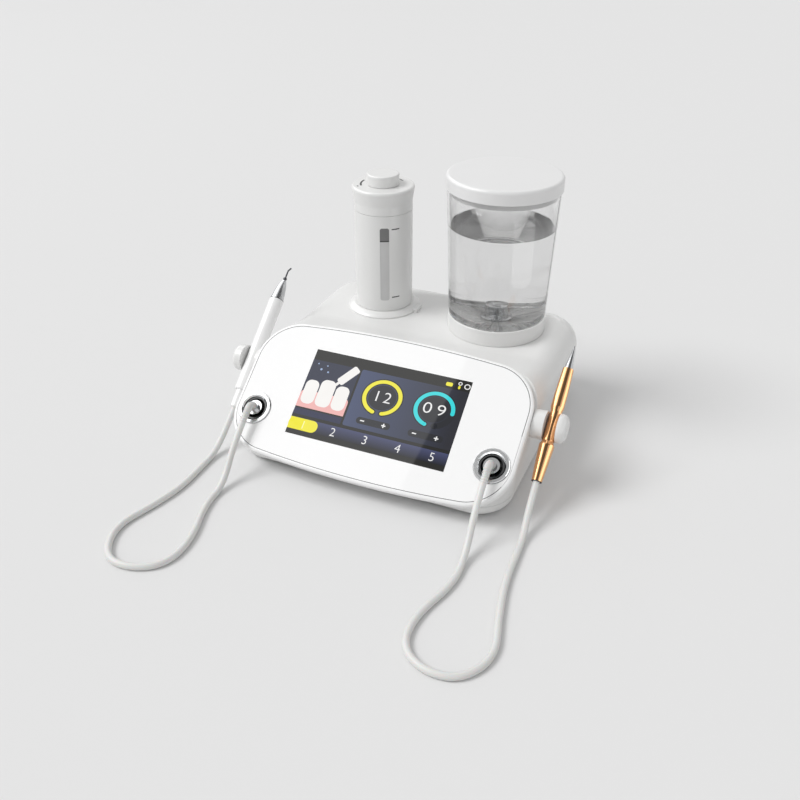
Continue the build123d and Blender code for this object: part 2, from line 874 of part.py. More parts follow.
# Water bottle
deck = Plane.XY.offset(deck_height)
valve_bottom = deck_height + collar_shelf - 2.0
shelf_low = deck_height + collar_shelf
shelf_top = shelf_low + shelf_thickness
collar_top = deck_height + seat_gap + collar_height
bottle_floor_top = shelf_top + bottle_floor
pin_top = valve_bottom + valve_wall - fit_gap
with BuildPart() as water_seat:
    turn(
        bottle,
        [
            (0, deck_height - seat_spout),
            (seat_spout_radius, deck_height - seat_spout),
            (seat_spout_radius, deck_height),
            (seat_radius, deck_height),
            (seat_radius, deck_height + seat_height),
            (valve_radius + 2, deck_height + seat_height),
            (valve_radius + 1, deck_height + 2),
            (pin_radius, deck_height + 2),
            (pin_radius, pin_top),
            (0, pin_top),
        ],
    )
    disc(
        Plane.XY.offset(deck_height - seat_spout), [(bottle_x + feed_offset, bottle_y)], pin_radius,
        seat_spout + 2, Mode.SUBTRACT,
    )
water_seat.part.label = "water_seat"
export_step(water_seat.part, "parts/water_seat.step")

with BuildPart() as bottle_collar:
    turn(
        bottle,
        [
            (valve_radius + fit_gap, shelf_low),
            (collar_radius - collar_wall, shelf_low),
            (collar_radius - collar_wall, deck_height + seat_gap),
            (collar_radius, deck_height + seat_gap),
            (collar_radius, collar_top),
            (collar_radius - collar_wall, collar_top),
            (collar_radius - collar_wall, shelf_top),
            (valve_radius + fit_gap, shelf_top),
        ],
    )
    fillet(
        bottle_collar.edges().filter_by(GeomType.CIRCLE).sort_by(SortBy.LENGTH)[-2:].sort_by(
            Axis.Z
        )[-1],
        1.0,
    )
bottle_collar.part.label = "bottle_collar"
export_step(bottle_collar.part, "parts/bottle_collar.step")

with BuildPart() as bottle_seal:
    turn(
        bottle,
        [
            (seal_radius - 2, shelf_top),
            (seal_radius, shelf_top),
            (seal_radius, shelf_top + seal_thickness),
            (seal_radius - 2, shelf_top + seal_thickness),
        ],
    )
bottle_seal.part.label = "bottle_seal"
export_step(bottle_seal.part, "parts/bottle_seal.step")

bottle_foot_radius = collar_radius - collar_wall - fit_gap
with BuildPart() as water_bottle:
    turn(
        bottle,
        [
            (0, shelf_top),
            (bottle_foot_radius, shelf_top),
            (bottle_foot_radius, collar_top),
            (bottle_base_radius, collar_top),
            (bottle_top_radius, bottle_top),
            (bottle_top_radius - bottle_wall, bottle_top),
            (bottle_base_radius - bottle_wall, collar_top + 6),
            (bottle_base_radius - bottle_wall - 5, bottle_floor_top),
            (0, bottle_floor_top),
        ],
    )
    turn(
        bottle,
        [
            (seal_radius - 2, shelf_top),
            (seal_radius, shelf_top),
            (seal_radius, shelf_top + seal_thickness),
            (seal_radius - 2, shelf_top + seal_thickness),
        ],
        Mode.SUBTRACT,
    )
    disc(
        Plane.XY.offset(shelf_low), [(bottle_x, bottle_y)], valve_radius,
        shelf_thickness + bottle_floor + 1, Mode.SUBTRACT,
    )
water_bottle.part.label = "water_bottle"
export_step(water_bottle.part, "parts/water_bottle.step")

cavity_low = valve_bottom + valve_wall
cavity_high = valve_top - valve_wall
with BuildPart() as bottle_valve:
    turn(
        bottle,
        [
            (valve_mouth, valve_bottom),
            (valve_radius, valve_bottom),
            (valve_radius, bottle_floor_top),
            (valve_flange, bottle_floor_top),
            (valve_flange, bottle_floor_top + valve_flange_height),
            (valve_radius, bottle_floor_top + valve_flange_height),
            (valve_radius, valve_top),
            (valve_mouth, valve_top),
            (valve_mouth, cavity_high),
            (valve_bore, cavity_high),
            (valve_bore, cavity_low),
            (valve_mouth, cavity_low),
        ],
    )
bottle_valve.part.label = "bottle_valve"
export_step(bottle_valve.part, "parts/bottle_valve.step")

head_top_z = cavity_low + plunger_head
with BuildPart() as valve_plunger:
    turn(
        bottle,
        [
            (0, cavity_low),
            (valve_bore - running_gap * 2, cavity_low),
            (valve_bore - running_gap * 2, head_top_z),
            (plunger_stem, head_top_z),
            (plunger_stem, cavity_high - valve_travel - fit_gap),
            (0, cavity_high - valve_travel - fit_gap),
        ],
    )
valve_plunger.part.label = "valve_plunger"
export_step(valve_plunger.part, "parts/valve_plunger.step")

spring_height = cavity_high - head_top_z
spring_pitch = (spring_height - 2 * spring_wire) / spring_turns
with BuildPart() as valve_spring:
    with BuildLine():
        Helix(
            spring_pitch, spring_height - 2 * spring_wire, spring_radius,
            center=(bottle_x, bottle_y, head_top_z + spring_wire),
        )
    with BuildSketch(
        Plane(
            origin=(bottle_x + spring_radius, bottle_y, head_top_z + spring_wire),
            x_dir=(1, 0, 0), z_dir=(0, 1, 0),
        )
    ):
        Circle(spring_wire)
    sweep(is_frenet=True)
valve_spring.part.label = "valve_spring"
export_step(valve_spring.part, "parts/valve_spring.step")

with BuildPart() as bottle_cap:
    turn(
        bottle,
        [
            (0, bottle_top - cap_plug),
            (bottle_top_radius - bottle_wall - 3 * fit_gap, bottle_top - cap_plug),
            (bottle_top_radius - bottle_wall - 3 * fit_gap, bottle_top + gasket_thickness),
            (bottle_top_radius + 2 * fit_gap, bottle_top + gasket_thickness),
            (bottle_top_radius + 2 * fit_gap, cap_bottom),
            (cap_radius, cap_bottom),
            (cap_radius, cap_top),
            (0, cap_top),
        ],
    )
    fillet(bottle_cap.edges().group_by(Axis.Z)[-1], cap_round)
    turn(
        bottle,
        [
            (0, bottle_top - cap_plug - 1),
            (bottle_top_radius - bottle_wall - 4, bottle_top - cap_plug - 1),
            (bottle_top_radius - bottle_wall - 4, cap_top - 3),
            (0, cap_top - 3),
        ],
        Mode.SUBTRACT,
    )
bottle_cap.part.label = "bottle_cap"
export_step(bottle_cap.part, "parts/bottle_cap.step")

with BuildPart() as cap_gasket:
    turn(
        bottle,
        [
            (bottle_top_radius - bottle_wall + fit_gap, bottle_top),
            (bottle_top_radius - fit_gap, bottle_top),
            (bottle_top_radius - fit_gap, bottle_top + gasket_thickness),
            (bottle_top_radius - bottle_wall + fit_gap, bottle_top + gasket_thickness),
        ],
    )
cap_gasket.part.label = "cap_gasket"
export_step(cap_gasket.part, "parts/cap_gasket.step")

# Powder chamber
seat_top = deck_height + flange_height
with BuildPart() as powder_seat:
    turn(
        chamber,
        [
            (0, deck_height - seat_spout),
            (seat_spout_radius, deck_height - seat_spout),
            (seat_spout_radius, deck_height),
            (flange_radius, deck_height),
            (flange_radius, deck_height + 1.5),
            (flange_radius - 2, deck_height + flange_height * 0.6),
            (flange_top_radius, seat_top),
            (0, seat_top),
        ],
    )
    block(
        deck, (-bottle_x + tab_reach - flange_radius / 2, bottle_y), flange_radius, tab_width,
        tab_height,
    )
    disc(
        Plane.XY.offset(seat_top), [(-bottle_x, bottle_y)], chamber_neck + fit_gap,
        -chamber_neck_length - fit_gap, Mode.SUBTRACT,
    )
    disc(
        Plane.XY.offset(seat_top), [(-bottle_x, bottle_y)], pin_radius, -seat_spout - flange_height,
        Mode.SUBTRACT,
    )
powder_seat.part.label = "powder_seat"
export_step(powder_seat.part, "parts/powder_seat.step")

chamber_bottom = seat_top + seat_gap
gauge_turn = radians(gauge_azimuth)
gauge_plane = Plane(
    origin=(-bottle_x, bottle_y, 0), x_dir=(cos(gauge_turn), sin(gauge_turn), 0),
    z_dir=(sin(gauge_turn), -cos(gauge_turn), 0),
)
gauge_middle = (gauge_low + gauge_high) / 2
window_seat = chamber_radius - chamber_wall / 2
with BuildPart() as powder_chamber:
    turn(
        chamber,
        [
            (0, seat_top - chamber_neck_length),
            (chamber_neck, seat_top - chamber_neck_length),
            (chamber_neck, chamber_bottom),
            (chamber_radius, chamber_bottom),
            (chamber_radius, chamber_top),
            (chamber_radius - chamber_wall, chamber_top),
            (chamber_radius - chamber_wall, chamber_bottom + chamber_floor),
            (0, chamber_bottom + chamber_floor),
        ],
    )
    with BuildSketch(gauge_plane):
        with Locations((0, gauge_middle)):
            RectangleRounded(gauge_width, gauge_high - gauge_low, gauge_width / 4)
    extrude(amount=chamber_radius + 1, mode=Mode.SUBTRACT)
powder_chamber.part.label = "powder_chamber"
export_step(powder_chamber.part, "parts/powder_chamber.step")

with BuildPart() as powder_window:
    turn(
        chamber,
        [
            (chamber_radius - chamber_wall + fit_gap, gauge_low),
            (chamber_radius - fit_gap, gauge_low),
            (chamber_radius - fit_gap, gauge_high),
            (chamber_radius - chamber_wall + fit_gap, gauge_high),
        ],
    )
    with BuildSketch(gauge_plane):
        with Locations((0, gauge_middle)):
            RectangleRounded(gauge_width, gauge_high - gauge_low, gauge_width / 4)
    extrude(amount=chamber_radius + 1, mode=Mode.INTERSECT)
powder_window.part.label = "powder_window"
export_step(powder_window.part, "parts/powder_window.step")

plug_bore = chamber_radius - chamber_wall - fit_gap
cap_low = chamber_top + seat_gap
with BuildPart() as powder_cap:
    turn(
        chamber,
        [
            (0, chamber_top - powder_plug),
            (plug_bore, chamber_top - powder_plug),
            (plug_bore, chamber_top - powder_plug / 2 - powder_seal_height / 2),
            (plug_bore - 2, chamber_top - powder_plug / 2 - powder_seal_height / 2),
            (plug_bore - 2, chamber_top - powder_plug / 2 + powder_seal_height / 2),
            (plug_bore, chamber_top - powder_plug / 2 + powder_seal_height / 2),
            (plug_bore, cap_low),
            (chamber_radius, cap_low),
            (chamber_radius, powder_cap_top - powder_rim_height - powder_rim_taper),
            (powder_rim_radius, powder_cap_top - powder_rim_height),
            (powder_rim_radius, powder_cap_top),
            (0, powder_cap_top),
        ],
    )
    fillet(powder_cap.edges().group_by(Axis.Z)[-1], powder_cap_round)
    disc(
        Plane.XY.offset(powder_cap_top), [(-bottle_x, bottle_y)], knob_stem + running_gap,
        -knob_stem_length - fit_gap, Mode.SUBTRACT,
    )
powder_cap.part.label = "powder_cap"
export_step(powder_cap.part, "parts/powder_cap.step")

with BuildPart() as powder_seal:
    turn(
        chamber,
        [
            (plug_bore - 2, chamber_top - powder_plug / 2 - powder_seal_height / 2),
            (plug_bore, chamber_top - powder_plug / 2 - powder_seal_height / 2),
            (plug_bore, chamber_top - powder_plug / 2 + powder_seal_height / 2),
            (plug_bore - 2, chamber_top - powder_plug / 2 + powder_seal_height / 2),
        ],
    )
powder_seal.part.label = "powder_seal"
export_step(powder_seal.part, "parts/powder_seal.step")

knob_low = powder_cap_top + fit_gap
with BuildPart() as pressure_knob:
    turn(
        chamber,
        [
            (0, powder_cap_top - knob_stem_length),
            (knob_stem, powder_cap_top - knob_stem_length),
            (knob_stem, knob_low),
            (knob_radius, knob_low),
            (knob_radius, knob_low + knob_height),
            (0, knob_low + knob_height),
        ],
    )
    fillet(pressure_knob.edges().group_by(Axis.Z)[-1], 1.5)
pressure_knob.part.label = "pressure_knob"
export_step(pressure_knob.part, "parts/pressure_knob.step")

# Ports, plugs, strain reliefs
for side, name in ((-1, "left"), (1, "right")):
    port = upright(panel.from_local_coords((side * port_x, -port_drop, 0)), panel.z_dir)
    with BuildPart() as port_ring:
        turn(
            port,
            [
                (ring_bore, -glass_thickness),
                (ring_radius, -glass_thickness),
                (ring_radius, ring_rise - ring_sink),
                (ring_radius - ring_sink, ring_rise),
                (ring_bore + 2 * ring_sink, ring_rise),
                (ring_bore, ring_rise - 2 * ring_sink),
            ],
        )
    port_ring.part.label = f"port_ring_{name}"
    export_step(port_ring.part, f"parts/port_ring_{name}.step")

    with BuildPart() as port_socket:
        turn(
            port,
            [
                (0, -socket_length),
                (socket_radius, -socket_length),
                (socket_radius, front_inner - socket_flange),
                (socket_flange_radius, front_inner - socket_flange),
                (socket_flange_radius, front_inner),
                (socket_radius, front_inner),
                (socket_radius, -socket_set),
                (well_radius, -socket_set),
                (well_radius, -well_depth),
                (plug_radius + running_gap, -well_depth),
                (plug_radius + running_gap, -well_depth - plug_length - fit_gap),
                (0, -well_depth - plug_length - fit_gap),
            ],
        )
    port_socket.part.label = f"port_socket_{name}"
    export_step(port_socket.part, f"parts/port_socket_{name}.step")

    with BuildPart() as cord_plug:
        turn(
            port,
            [
                (0, -well_depth - plug_length),
                (plug_radius, -well_depth - plug_length),
                (plug_radius, -well_depth),
                (plug_collar, -well_depth),
                (plug_collar, collar_rise),
                (nipple_radius, collar_rise),
                (nipple_radius, collar_rise + nipple_height),
                (0, collar_rise + nipple_height),
            ],
        )
    cord_plug.part.label = f"cord_plug_{name}"
    export_step(cord_plug.part, f"parts/cord_plug_{name}.step")

    nipple_top = collar_rise + nipple_height
    turn_angle = radians(45)
    boot_points = [
        panel.from_local_coords((side * port_x, up, out))
        for up, out in (
            (-port_drop, nipple_top),
            (-port_drop - boot_bend * (1 - cos(turn_angle)), nipple_top + boot_bend * sin(turn_angle)),
            (-port_drop - boot_bend, nipple_top + boot_bend),
            (-port_drop - boot_bend - boot_straight, nipple_top + boot_bend),
        )
    ]
    with BuildPart() as cord_boot:
        with BuildLine():
            ThreePointArc(*boot_points[:3])
            Line(boot_points[2], boot_points[3])
        with BuildSketch(Plane(origin=boot_points[0], x_dir=(1, 0, 0), z_dir=panel.z_dir)):
            Circle(boot_radius)
        sweep()
    cord_boot.part.label = f"cord_boot_{name}"
    export_step(cord_boot.part, f"parts/cord_boot_{name}.step")

spigot_end = (
    base_half_width - wall - 2 * fit_gap
    + tan(radians(side_draft)) * (holder_z - holder_radius - housing_base)
)

# Handpiece holders: spools scooped out by a groove that is open away from the console
for x, groove, name in (
    (polisher_x, polisher_groove, "left"),
    (scaler_x, scaler_groove, "right"),
):
    side = 1 if x > 0 else -1
    with BuildPart() as holder:
        disc(side_plane.offset(side * base_half_width), [(0, 0)], holder_radius,
             side * (holder_reach - base_half_width))
        fillet(holder.faces().sort_by(Axis.X)[-1 if side > 0 else 0].edges(), holder_round)
        add(outer_form, mode=Mode.SUBTRACT)
        panel_outline(-bezel_thickness - fit_gap, 2 * bezel_thickness, -fit_gap, Mode.SUBTRACT)
        hand = upright((x, holder_y, holder_z), hand_direction)
        disc(
            Plane(origin=hand.origin - hand_direction * 2 * holder_radius, z_dir=hand_direction),
            [(0, 0)], groove, 4 * holder_radius, Mode.SUBTRACT,
        )
        block(hand, (0, 0), 2 * groove, 4 * holder_radius, 2 * holder_radius, Mode.SUBTRACT)
        disc(side_plane.offset(side * spigot_end), [(0, 0)], spigot_radius, side * 2 * wall)
        disc(side_plane.offset(side * spigot_end), [(0, 0)], screw_radius,
             side * holder_screw_reach, Mode.SUBTRACT)
    holder.part.label = f"holder_{name}"
    export_step(holder.part, f"parts/holder_{name}.step")

with BuildPart() as holder_screws:
    for side in (-1, 1):
        disc(side_plane.offset(side * spigot_end), [(0, 0)], washer_radius,
             -side * washer_thickness)
        disc(side_plane.offset(side * (spigot_end - washer_thickness)), [(0, 0)],
             screw_head_radius, -side * screw_head_height)
        disc(side_plane.offset(side * spigot_end), [(0, 0)], screw_radius,
             side * holder_screw_reach)
holder_screws.part.label = "holder_screws"
export_step(holder_screws.part, "parts/holder_screws.step")

# Gold scaler handpiece
scaler = upright((scaler_x, holder_y, holder_z), hand_direction)
shank_start = scaler_front - nose_shank
with BuildPart() as scaler_body:
    turn(
        scaler,
        [
            (cord_bore, scaler_tail),
            (scaler_tail_radius, scaler_tail),
            (scaler_wide_radius, scaler_wide),
            (scaler_neck_radius, -scaler_neck),
            (scaler_neck_radius, scaler_neck),
            (scaler_grip_radius, scaler_grip),
            (scaler_grip_radius - 0.1, (scaler_grip + scaler_front) / 2 - 6),
            (scaler_front_radius, scaler_front),
            (scaler_bore, scaler_front),
            (scaler_bore, transducer_back - 8),
            (cord_bore, transducer_back - 8),
        ],
    )
    outer_edges = scaler_body.edges().filter_by(GeomType.CIRCLE).filter_by(
        lambda edge: edge.radius > scaler_bore + 0.5
    )
    fillet(
        outer_edges.filter_by(
            lambda edge: abs(scaler.to_local_coords(edge.arc_center).Y) < scaler_grip + 1
        ),
        1.6,
    )
scaler_body.part.label = "scaler_body"
export_step(scaler_body.part, "parts/scaler_body.step")

with BuildPart() as scaler_transducer:
    turn(
        scaler,
        [
            (0, transducer_back),
            (scaler_bore, transducer_back),
            (scaler_bore, transducer_back + 4),
            (transducer_radius, transducer_back + 4),
            (transducer_radius, shank_start - 5),
            (scaler_bore, shank_start - 5),
            (scaler_bore, shank_start),
            (0, shank_start),
        ],
    )
scaler_transducer.part.label = "scaler_transducer"
export_step(scaler_transducer.part, "parts/scaler_transducer.step")

with BuildPart() as scaler_nose:
    turn(
        scaler,
        [
            (0, shank_start),
            (scaler_bore, shank_start),
            (scaler_bore, scaler_front),
            (nose_radius, scaler_front),
            (nose_end_radius, nose_end),
            (tip_shank_radius + running_gap, nose_end),
            (tip_shank_radius + running_gap, nose_end - tip_shank - fit_gap),
            (0, nose_end - tip_shank - fit_gap),
        ],
    )
scaler_nose.part.label = "scaler_nose"
export_step(scaler_nose.part, "parts/scaler_nose.step")

with BuildPart() as scaler_tip:
    turn(
        scaler,
        [
            (0, nose_end - tip_shank),
            (tip_shank_radius, nose_end - tip_shank),
            (tip_shank_radius, nose_end + tip_gap),
            (nose_end_radius - 0.2, nose_end + tip_gap),
            (tip_point_radius, tip_end),
            (0, tip_end),
        ],
    )
scaler_tip.part.label = "scaler_tip"
export_step(scaler_tip.part, "parts/scaler_tip.step")

# White air-polishing handpiece
polisher = upright((polisher_x, holder_y, holder_z), hand_direction)
with BuildPart() as polisher_body:
    turn(
        polisher,
        [
            (polisher_bore, polisher_tail_end),
            (polisher_tail_radius - 0.6, polisher_tail_end),
            (polisher_tail_radius, polisher_tail_end + 1.2),
            (polisher_front_radius, polisher_front - 0.4),
            (polisher_front_radius - 0.4, polisher_front),
            (polisher_bore, polisher_front),
        ],
    )
polisher_body.part.label = "polisher_body"
export_step(polisher_body.part, "parts/polisher_body.step")

with BuildPart() as polisher_tail:
    turn(
        polisher,
        [
            (cord_bore, sleeve_end),
            (sleeve_radius - 0.4, sleeve_end),
            (sleeve_radius, sleeve_end + 0.8),
            (sleeve_radius, polisher_tail_end),
            (polisher_bore, polisher_tail_end),
            (polisher_bore, polisher_tail_end + sleeve_shank),
            (cord_bore, polisher_tail_end + sleeve_shank),
        ],
    )
polisher_tail.part.label = "polisher_tail"
export_step(polisher_tail.part, "parts/polisher_tail.step")

cone_length = cone_end - polisher_front
nozzle_bore = nozzle_radius + 0.2 + running_gap
with BuildPart() as polisher_cone:
    with BuildSketch(polisher) as cone_section:
        with BuildLine():
            Spline(
                (polisher_front_radius - 0.5, polisher_front),
                (polisher_front_radius * 0.8, polisher_front + cone_length * 0.35),
                (cone_end_radius * 1.9, polisher_front + cone_length * 0.75),
                (cone_end_radius, cone_end),
            )
            Polyline(
                (cone_end_radius, cone_end),
                (nozzle_bore, cone_end),
                (nozzle_bore, cone_end - nozzle_shank - fit_gap),
                (0, cone_end - nozzle_shank - fit_gap),
                (0, polisher_front - cone_shank),
                (polisher_bore, polisher_front - cone_shank),
                (polisher_bore, polisher_front),
                (polisher_front_radius - 0.5, polisher_front),
            )
        make_face()
    revolve(axis=Axis(polisher.origin, polisher.y_dir))
polisher_cone.part.label = "polisher_cone"
export_step(polisher_cone.part, "parts/polisher_cone.step")

# The nozzle's ball sits on the cone and its fine tube is bent near the end
ball_centre = cone_end + fit_gap + nozzle_ball * 0.9
bend = radians(nozzle_angle)
nozzle_corner = polisher.from_local_coords((0, nozzle_straight, 0))
nozzle_tip = nozzle_corner + (
    hand_direction * cos(bend) - polisher.z_dir * sin(bend)
) * nozzle_reach
with BuildPart() as polisher_nozzle:
    with BuildLine():
        FilletPolyline(
            polisher.from_local_coords((0, ball_centre, 0)), nozzle_corner, nozzle_tip,
            radius=2 * nozzle_radius,
        )
    with BuildSketch(
        Plane(origin=polisher.from_local_coords((0, ball_centre, 0)), z_dir=hand_direction)
    ):
        Circle(nozzle_radius)
    sweep()
    turn(
        polisher,
        [
            (0, cone_end - nozzle_shank),
            (nozzle_radius + 0.2, cone_end - nozzle_shank),
            (nozzle_radius + 0.2, cone_end + fit_gap),
            (nozzle_ball * 0.7, cone_end + fit_gap),
            (nozzle_ball, ball_centre - nozzle_ball * 0.3),
            (nozzle_ball, ball_centre + nozzle_ball * 0.3),
            (nozzle_ball * 0.7, ball_centre + nozzle_ball * 0.8),
            (0, ball_centre + nozzle_ball * 0.8),
        ],
    )
polisher_nozzle.part.label = "polisher_nozzle"
export_step(polisher_nozzle.part, "parts/polisher_nozzle.step")

# Cords: down from the boots, along the table in a loop and up into the handpieces
cord_ends = {
    "left": polisher.from_local_coords((0, sleeve_end, 0)),
    "right": scaler.from_local_coords((0, scaler_tail, 0)),
}
floor_routes = {
    "left": [
        (-112.5, -168.4), (-112.0, -197.4), (-96.0, -241.4),
        (-98.0, -273.4), (-122.0, -288.4), (-149.0, -285.4), (-165.5, -251.4),
        (-153.0, -215.4), (-146.0, -183.4), (-147.0, -154.4), (-147.5, -130.4),
    ],
    "right": [
        (118.5, -171.4), (120.0, -203.4), (106.0, -244.4),
        (108.0, -276.4), (131.0, -291.4), (158.0, -287.4), (173.0, -259.4),
        (163.5, -223.4), (156.5, -185.4), (155.5, -154.4), (154.5, -130.4),
    ],
}
for side, name in ((-1, "left"), (1, "right")):
    start = panel.from_local_coords(
        (side * port_x, -port_drop - boot_bend - boot_straight, nipple_top + boot_bend)
    )
    end = cord_ends[name]
    route = [start, start - panel.y_dir * 28]
    for x, y in floor_routes[name]:
        route.append(Vector(x, y, cord_radius))
    route += [end - hand_direction * 24, end]
    radii = []
    for before, corner, after in zip(route, route[1:], route[2:]):
        back = before - corner
        ahead = after - corner
        turned = radians(180 - back.get_angle(ahead))
        radii.append(0.45 * min(back.length, ahead.length) / tan(turned / 2))
    print(name, "cord arc radii", [round(radius, 1) for radius in radii])
    with BuildPart() as cord:
        with BuildLine():
            FilletPolyline(*route, radius=radii)
        with BuildSketch(Plane(origin=start, z_dir=route[1] - start)):
            Circle(cord_radius)
        sweep()
    length = cord.part.volume / (pi * cord_radius**2)
    print(name, "cord length", round(length, 1), [tuple(round(v, 1) for v in p) for p in route])
    cord.part.label = f"cord_{name}"
    export_step(cord.part, f"parts/cord_{name}.step")
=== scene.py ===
"""Looks of a dental scaler and air polisher: finishes, cords, water, powder, screen, stage."""
from math import cos, pi, radians, sin

import bmesh
import bpy
from mathutils import Matrix, Vector


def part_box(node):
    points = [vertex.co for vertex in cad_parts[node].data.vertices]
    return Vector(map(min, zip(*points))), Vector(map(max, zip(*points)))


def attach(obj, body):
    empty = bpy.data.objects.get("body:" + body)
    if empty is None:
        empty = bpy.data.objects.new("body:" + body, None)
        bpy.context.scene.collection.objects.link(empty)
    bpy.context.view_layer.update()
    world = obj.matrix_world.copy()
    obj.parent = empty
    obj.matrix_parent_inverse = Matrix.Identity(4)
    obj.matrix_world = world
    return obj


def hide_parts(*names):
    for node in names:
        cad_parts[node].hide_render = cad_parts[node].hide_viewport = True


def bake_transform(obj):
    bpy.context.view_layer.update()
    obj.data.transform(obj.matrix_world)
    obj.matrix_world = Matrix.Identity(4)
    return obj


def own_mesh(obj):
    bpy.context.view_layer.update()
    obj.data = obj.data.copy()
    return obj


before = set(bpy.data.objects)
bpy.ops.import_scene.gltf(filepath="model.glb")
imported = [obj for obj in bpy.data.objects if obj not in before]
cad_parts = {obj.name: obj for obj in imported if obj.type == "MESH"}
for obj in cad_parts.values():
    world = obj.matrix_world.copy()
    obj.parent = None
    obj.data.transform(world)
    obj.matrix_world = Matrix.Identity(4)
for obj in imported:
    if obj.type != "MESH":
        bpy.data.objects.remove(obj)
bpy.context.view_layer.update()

bl_info = {
    "name": "Dental scaler looks",
    "version": (1, 0, 0),
    "blender": (4, 5, 0),
    "location": "3D View > Sidebar > Scaler",
    "description": "Finishes, cords, water, powder and screen of a dental scaler",
    "category": "Object",
}

mm = 0.001
panel_tilt = radians(36)
hand_slope = radians(39)
glass_thickness = 2.0 * mm
display_thickness = 5.1 * mm

# Camera of the photograph's view
camera_place = (0.27964, -0.67602, 0.48243)
camera_pitch = radians(57.97)
camera_turn = radians(23.36)
camera_lens = 39.23
camera_sensor = 36.0
nearest_seen = 0.01

# Cords: the route's points, from the strain relief down to the table, round and up to the handpiece
cord_diameter = 0.006
cord_routes = {
    "left": [
        (-0.1155, -0.1159, 0.0490), (-0.1155, -0.1386, 0.0325), (-0.1125, -0.1684, 0.003),
        (-0.1120, -0.1974, 0.003), (-0.0960, -0.2414, 0.003), (-0.0980, -0.2734, 0.003),
        (-0.1220, -0.2884, 0.003), (-0.1490, -0.2854, 0.003), (-0.1655, -0.2514, 0.003),
        (-0.1530, -0.2154, 0.003), (-0.1460, -0.1834, 0.003), (-0.1470, -0.1544, 0.003),
        (-0.1475, -0.1304, 0.003), (-0.1472, -0.1080, 0.0164), (-0.1472, -0.0893, 0.0315),
    ],
    "right": [
        (0.1155, -0.1159, 0.0490), (0.1155, -0.1386, 0.0325), (0.1185, -0.1714, 0.003),
        (0.1200, -0.2034, 0.003), (0.1060, -0.2444, 0.003), (0.1080, -0.2764, 0.003),
        (0.1310, -0.2914, 0.003), (0.1580, -0.2874, 0.003), (0.1730, -0.2594, 0.003),
        (0.1635, -0.2234, 0.003), (0.1565, -0.1854, 0.003), (0.1555, -0.1544, 0.003),
        (0.1545, -0.1304, 0.003), (0.1520, -0.1072, 0.0170), (0.1520, -0.0886, 0.0321),
    ],
}
cord_bodies = {"left": "polisher", "right": "scaler"}

# Cards that only glossy surfaces show: four overhead, each with its middle and width, which run
# away from the viewer and to the right, and one low at the right that makes the upright bar of
# light on the bottle
card_height = 1.5
card_length = 4.0
card_run = (0.3256, 0.9455)
softbox_card = ((-0.748, -0.379), 0.74)
window_card = ((-2.66, 0.28), 3.1)
soffit_card = ((-0.257, -0.549), 0.3)
ceiling_card = ((0.499, -0.811), 1.3)
window_share = 2
soffit_level = 0.42
ceiling_level = 0.12
side_card_place = (0.25, -0.057, 0.087)
side_card_size = (0.2, 0.078)
side_card_tilt = radians(15)
side_card_level = 2.0

# The soft lamp at the upper left, and the floor
key_angle = radians(28)
key_pitch = radians(18)
key_turn = radians(-37)
floor_radius = 9.0

# The dark bead in the gap round the glass: adhesive, and painted shade that stands in for the gap's
# shadow
gap_shade_depth = 1.0 * mm
gap_shade_sink = 0.02 * mm
gap_shade_cover = 0.3 * mm
gap_shade_width = 0.55 * mm
port_clearance = 20 * mm

# Printed marks, in millimetres and degrees: the ticks beside the level window, and the marks round
# the powder cap as their middle radius, start, angle and width
ink_rise = 0.03
ink_sink = 0.1
tick_width = 1.1
tick_start = -50
tick_angle = 16
tick_margins = (3, -1.5)
cap_marks = ((21.5, 172, 46, 1.9), (25.2, 217, 5, 1.8), (21.0, 48, 22, 1.2))

# Seams where a handpiece's parts meet, as their radii and ends along its axis, in millimetres
seams = {"left": (6.5, 7.0, 65.85, 66.35), "right": (3.4, 4.55, -50.5, -49.9)}

# Insides of the bottle and the chamber in millimetres, as heights and radii. The water enters the
# bottle's wall a little, so that light bends once where they touch, and climbs at the wall.
bottle_floor = 102.7
bottle_corner = 5
bottle_wide_from = 109.2
bottle_inner_low = 44.6
bottle_inner_high = 49.7
water_overlap = 0.2
meniscus = ((water_overlap, 0.9), (-0.5, 0.2), (-2.0, 0))
chamber_floor = 97.6
chamber_inner = 25.5
shoulder_share = 0.7
heap_shoulder = 0.6
heap_top = 1.6

# Dark line of painted shade at the powder's top on the level window, and how softly its edges end
line_height = 1.2 * mm
line_edge = 0.3 * mm

# Strain reliefs, which start on the plug's nipple
nipple_top = 4.0 * mm
boot_radius = 3.5 * mm
boot_bend = 6.5 * mm
boot_neck = 1.2 * mm
boot_taper = 0.14
boot_ribs = 5
rib_pitch = 2.4 * mm
groove_share = 0.93


def linear(code):
    """The linear colour of an sRGB hex code."""
    parts = [int(code[place:place + 2], 16) / 255 for place in (1, 3, 5)]
    return [part / 12.92 if part <= 0.04045 else ((part + 0.055) / 1.055) ** 2.4 for part in parts]


def middle(node):
    """The middle of a node's box."""
    low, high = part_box(node)
    return (low + high) / 2


def seat(origin, across, out):
    """The matrix that sets a piece's own x and z axes along two directions of the frame."""
    up = out.cross(across)
    matrix = Matrix((across, up, out)).transposed().to_4x4()
    matrix.translation = origin
    return matrix


# Places worked out from the frame
panel_up = Vector((0, cos(panel_tilt), sin(panel_tilt)))
panel_out = Vector((0, -sin(panel_tilt), cos(panel_tilt)))
screen_centre = middle("display_module") + panel_out * (glass_thickness + display_thickness / 2)
panel_seat = seat(screen_centre, Vector((1, 0, 0)), panel_out)
bottle_middle = middle("water_bottle")
chamber_middle = middle("powder_chamber")
bottle_seat = Matrix.Translation((bottle_middle.x, bottle_middle.y, 0))
chamber_seat = Matrix.Translation((chamber_middle.x, chamber_middle.y, 0))
hand_out = Vector((0, cos(hand_slope), sin(hand_slope)))


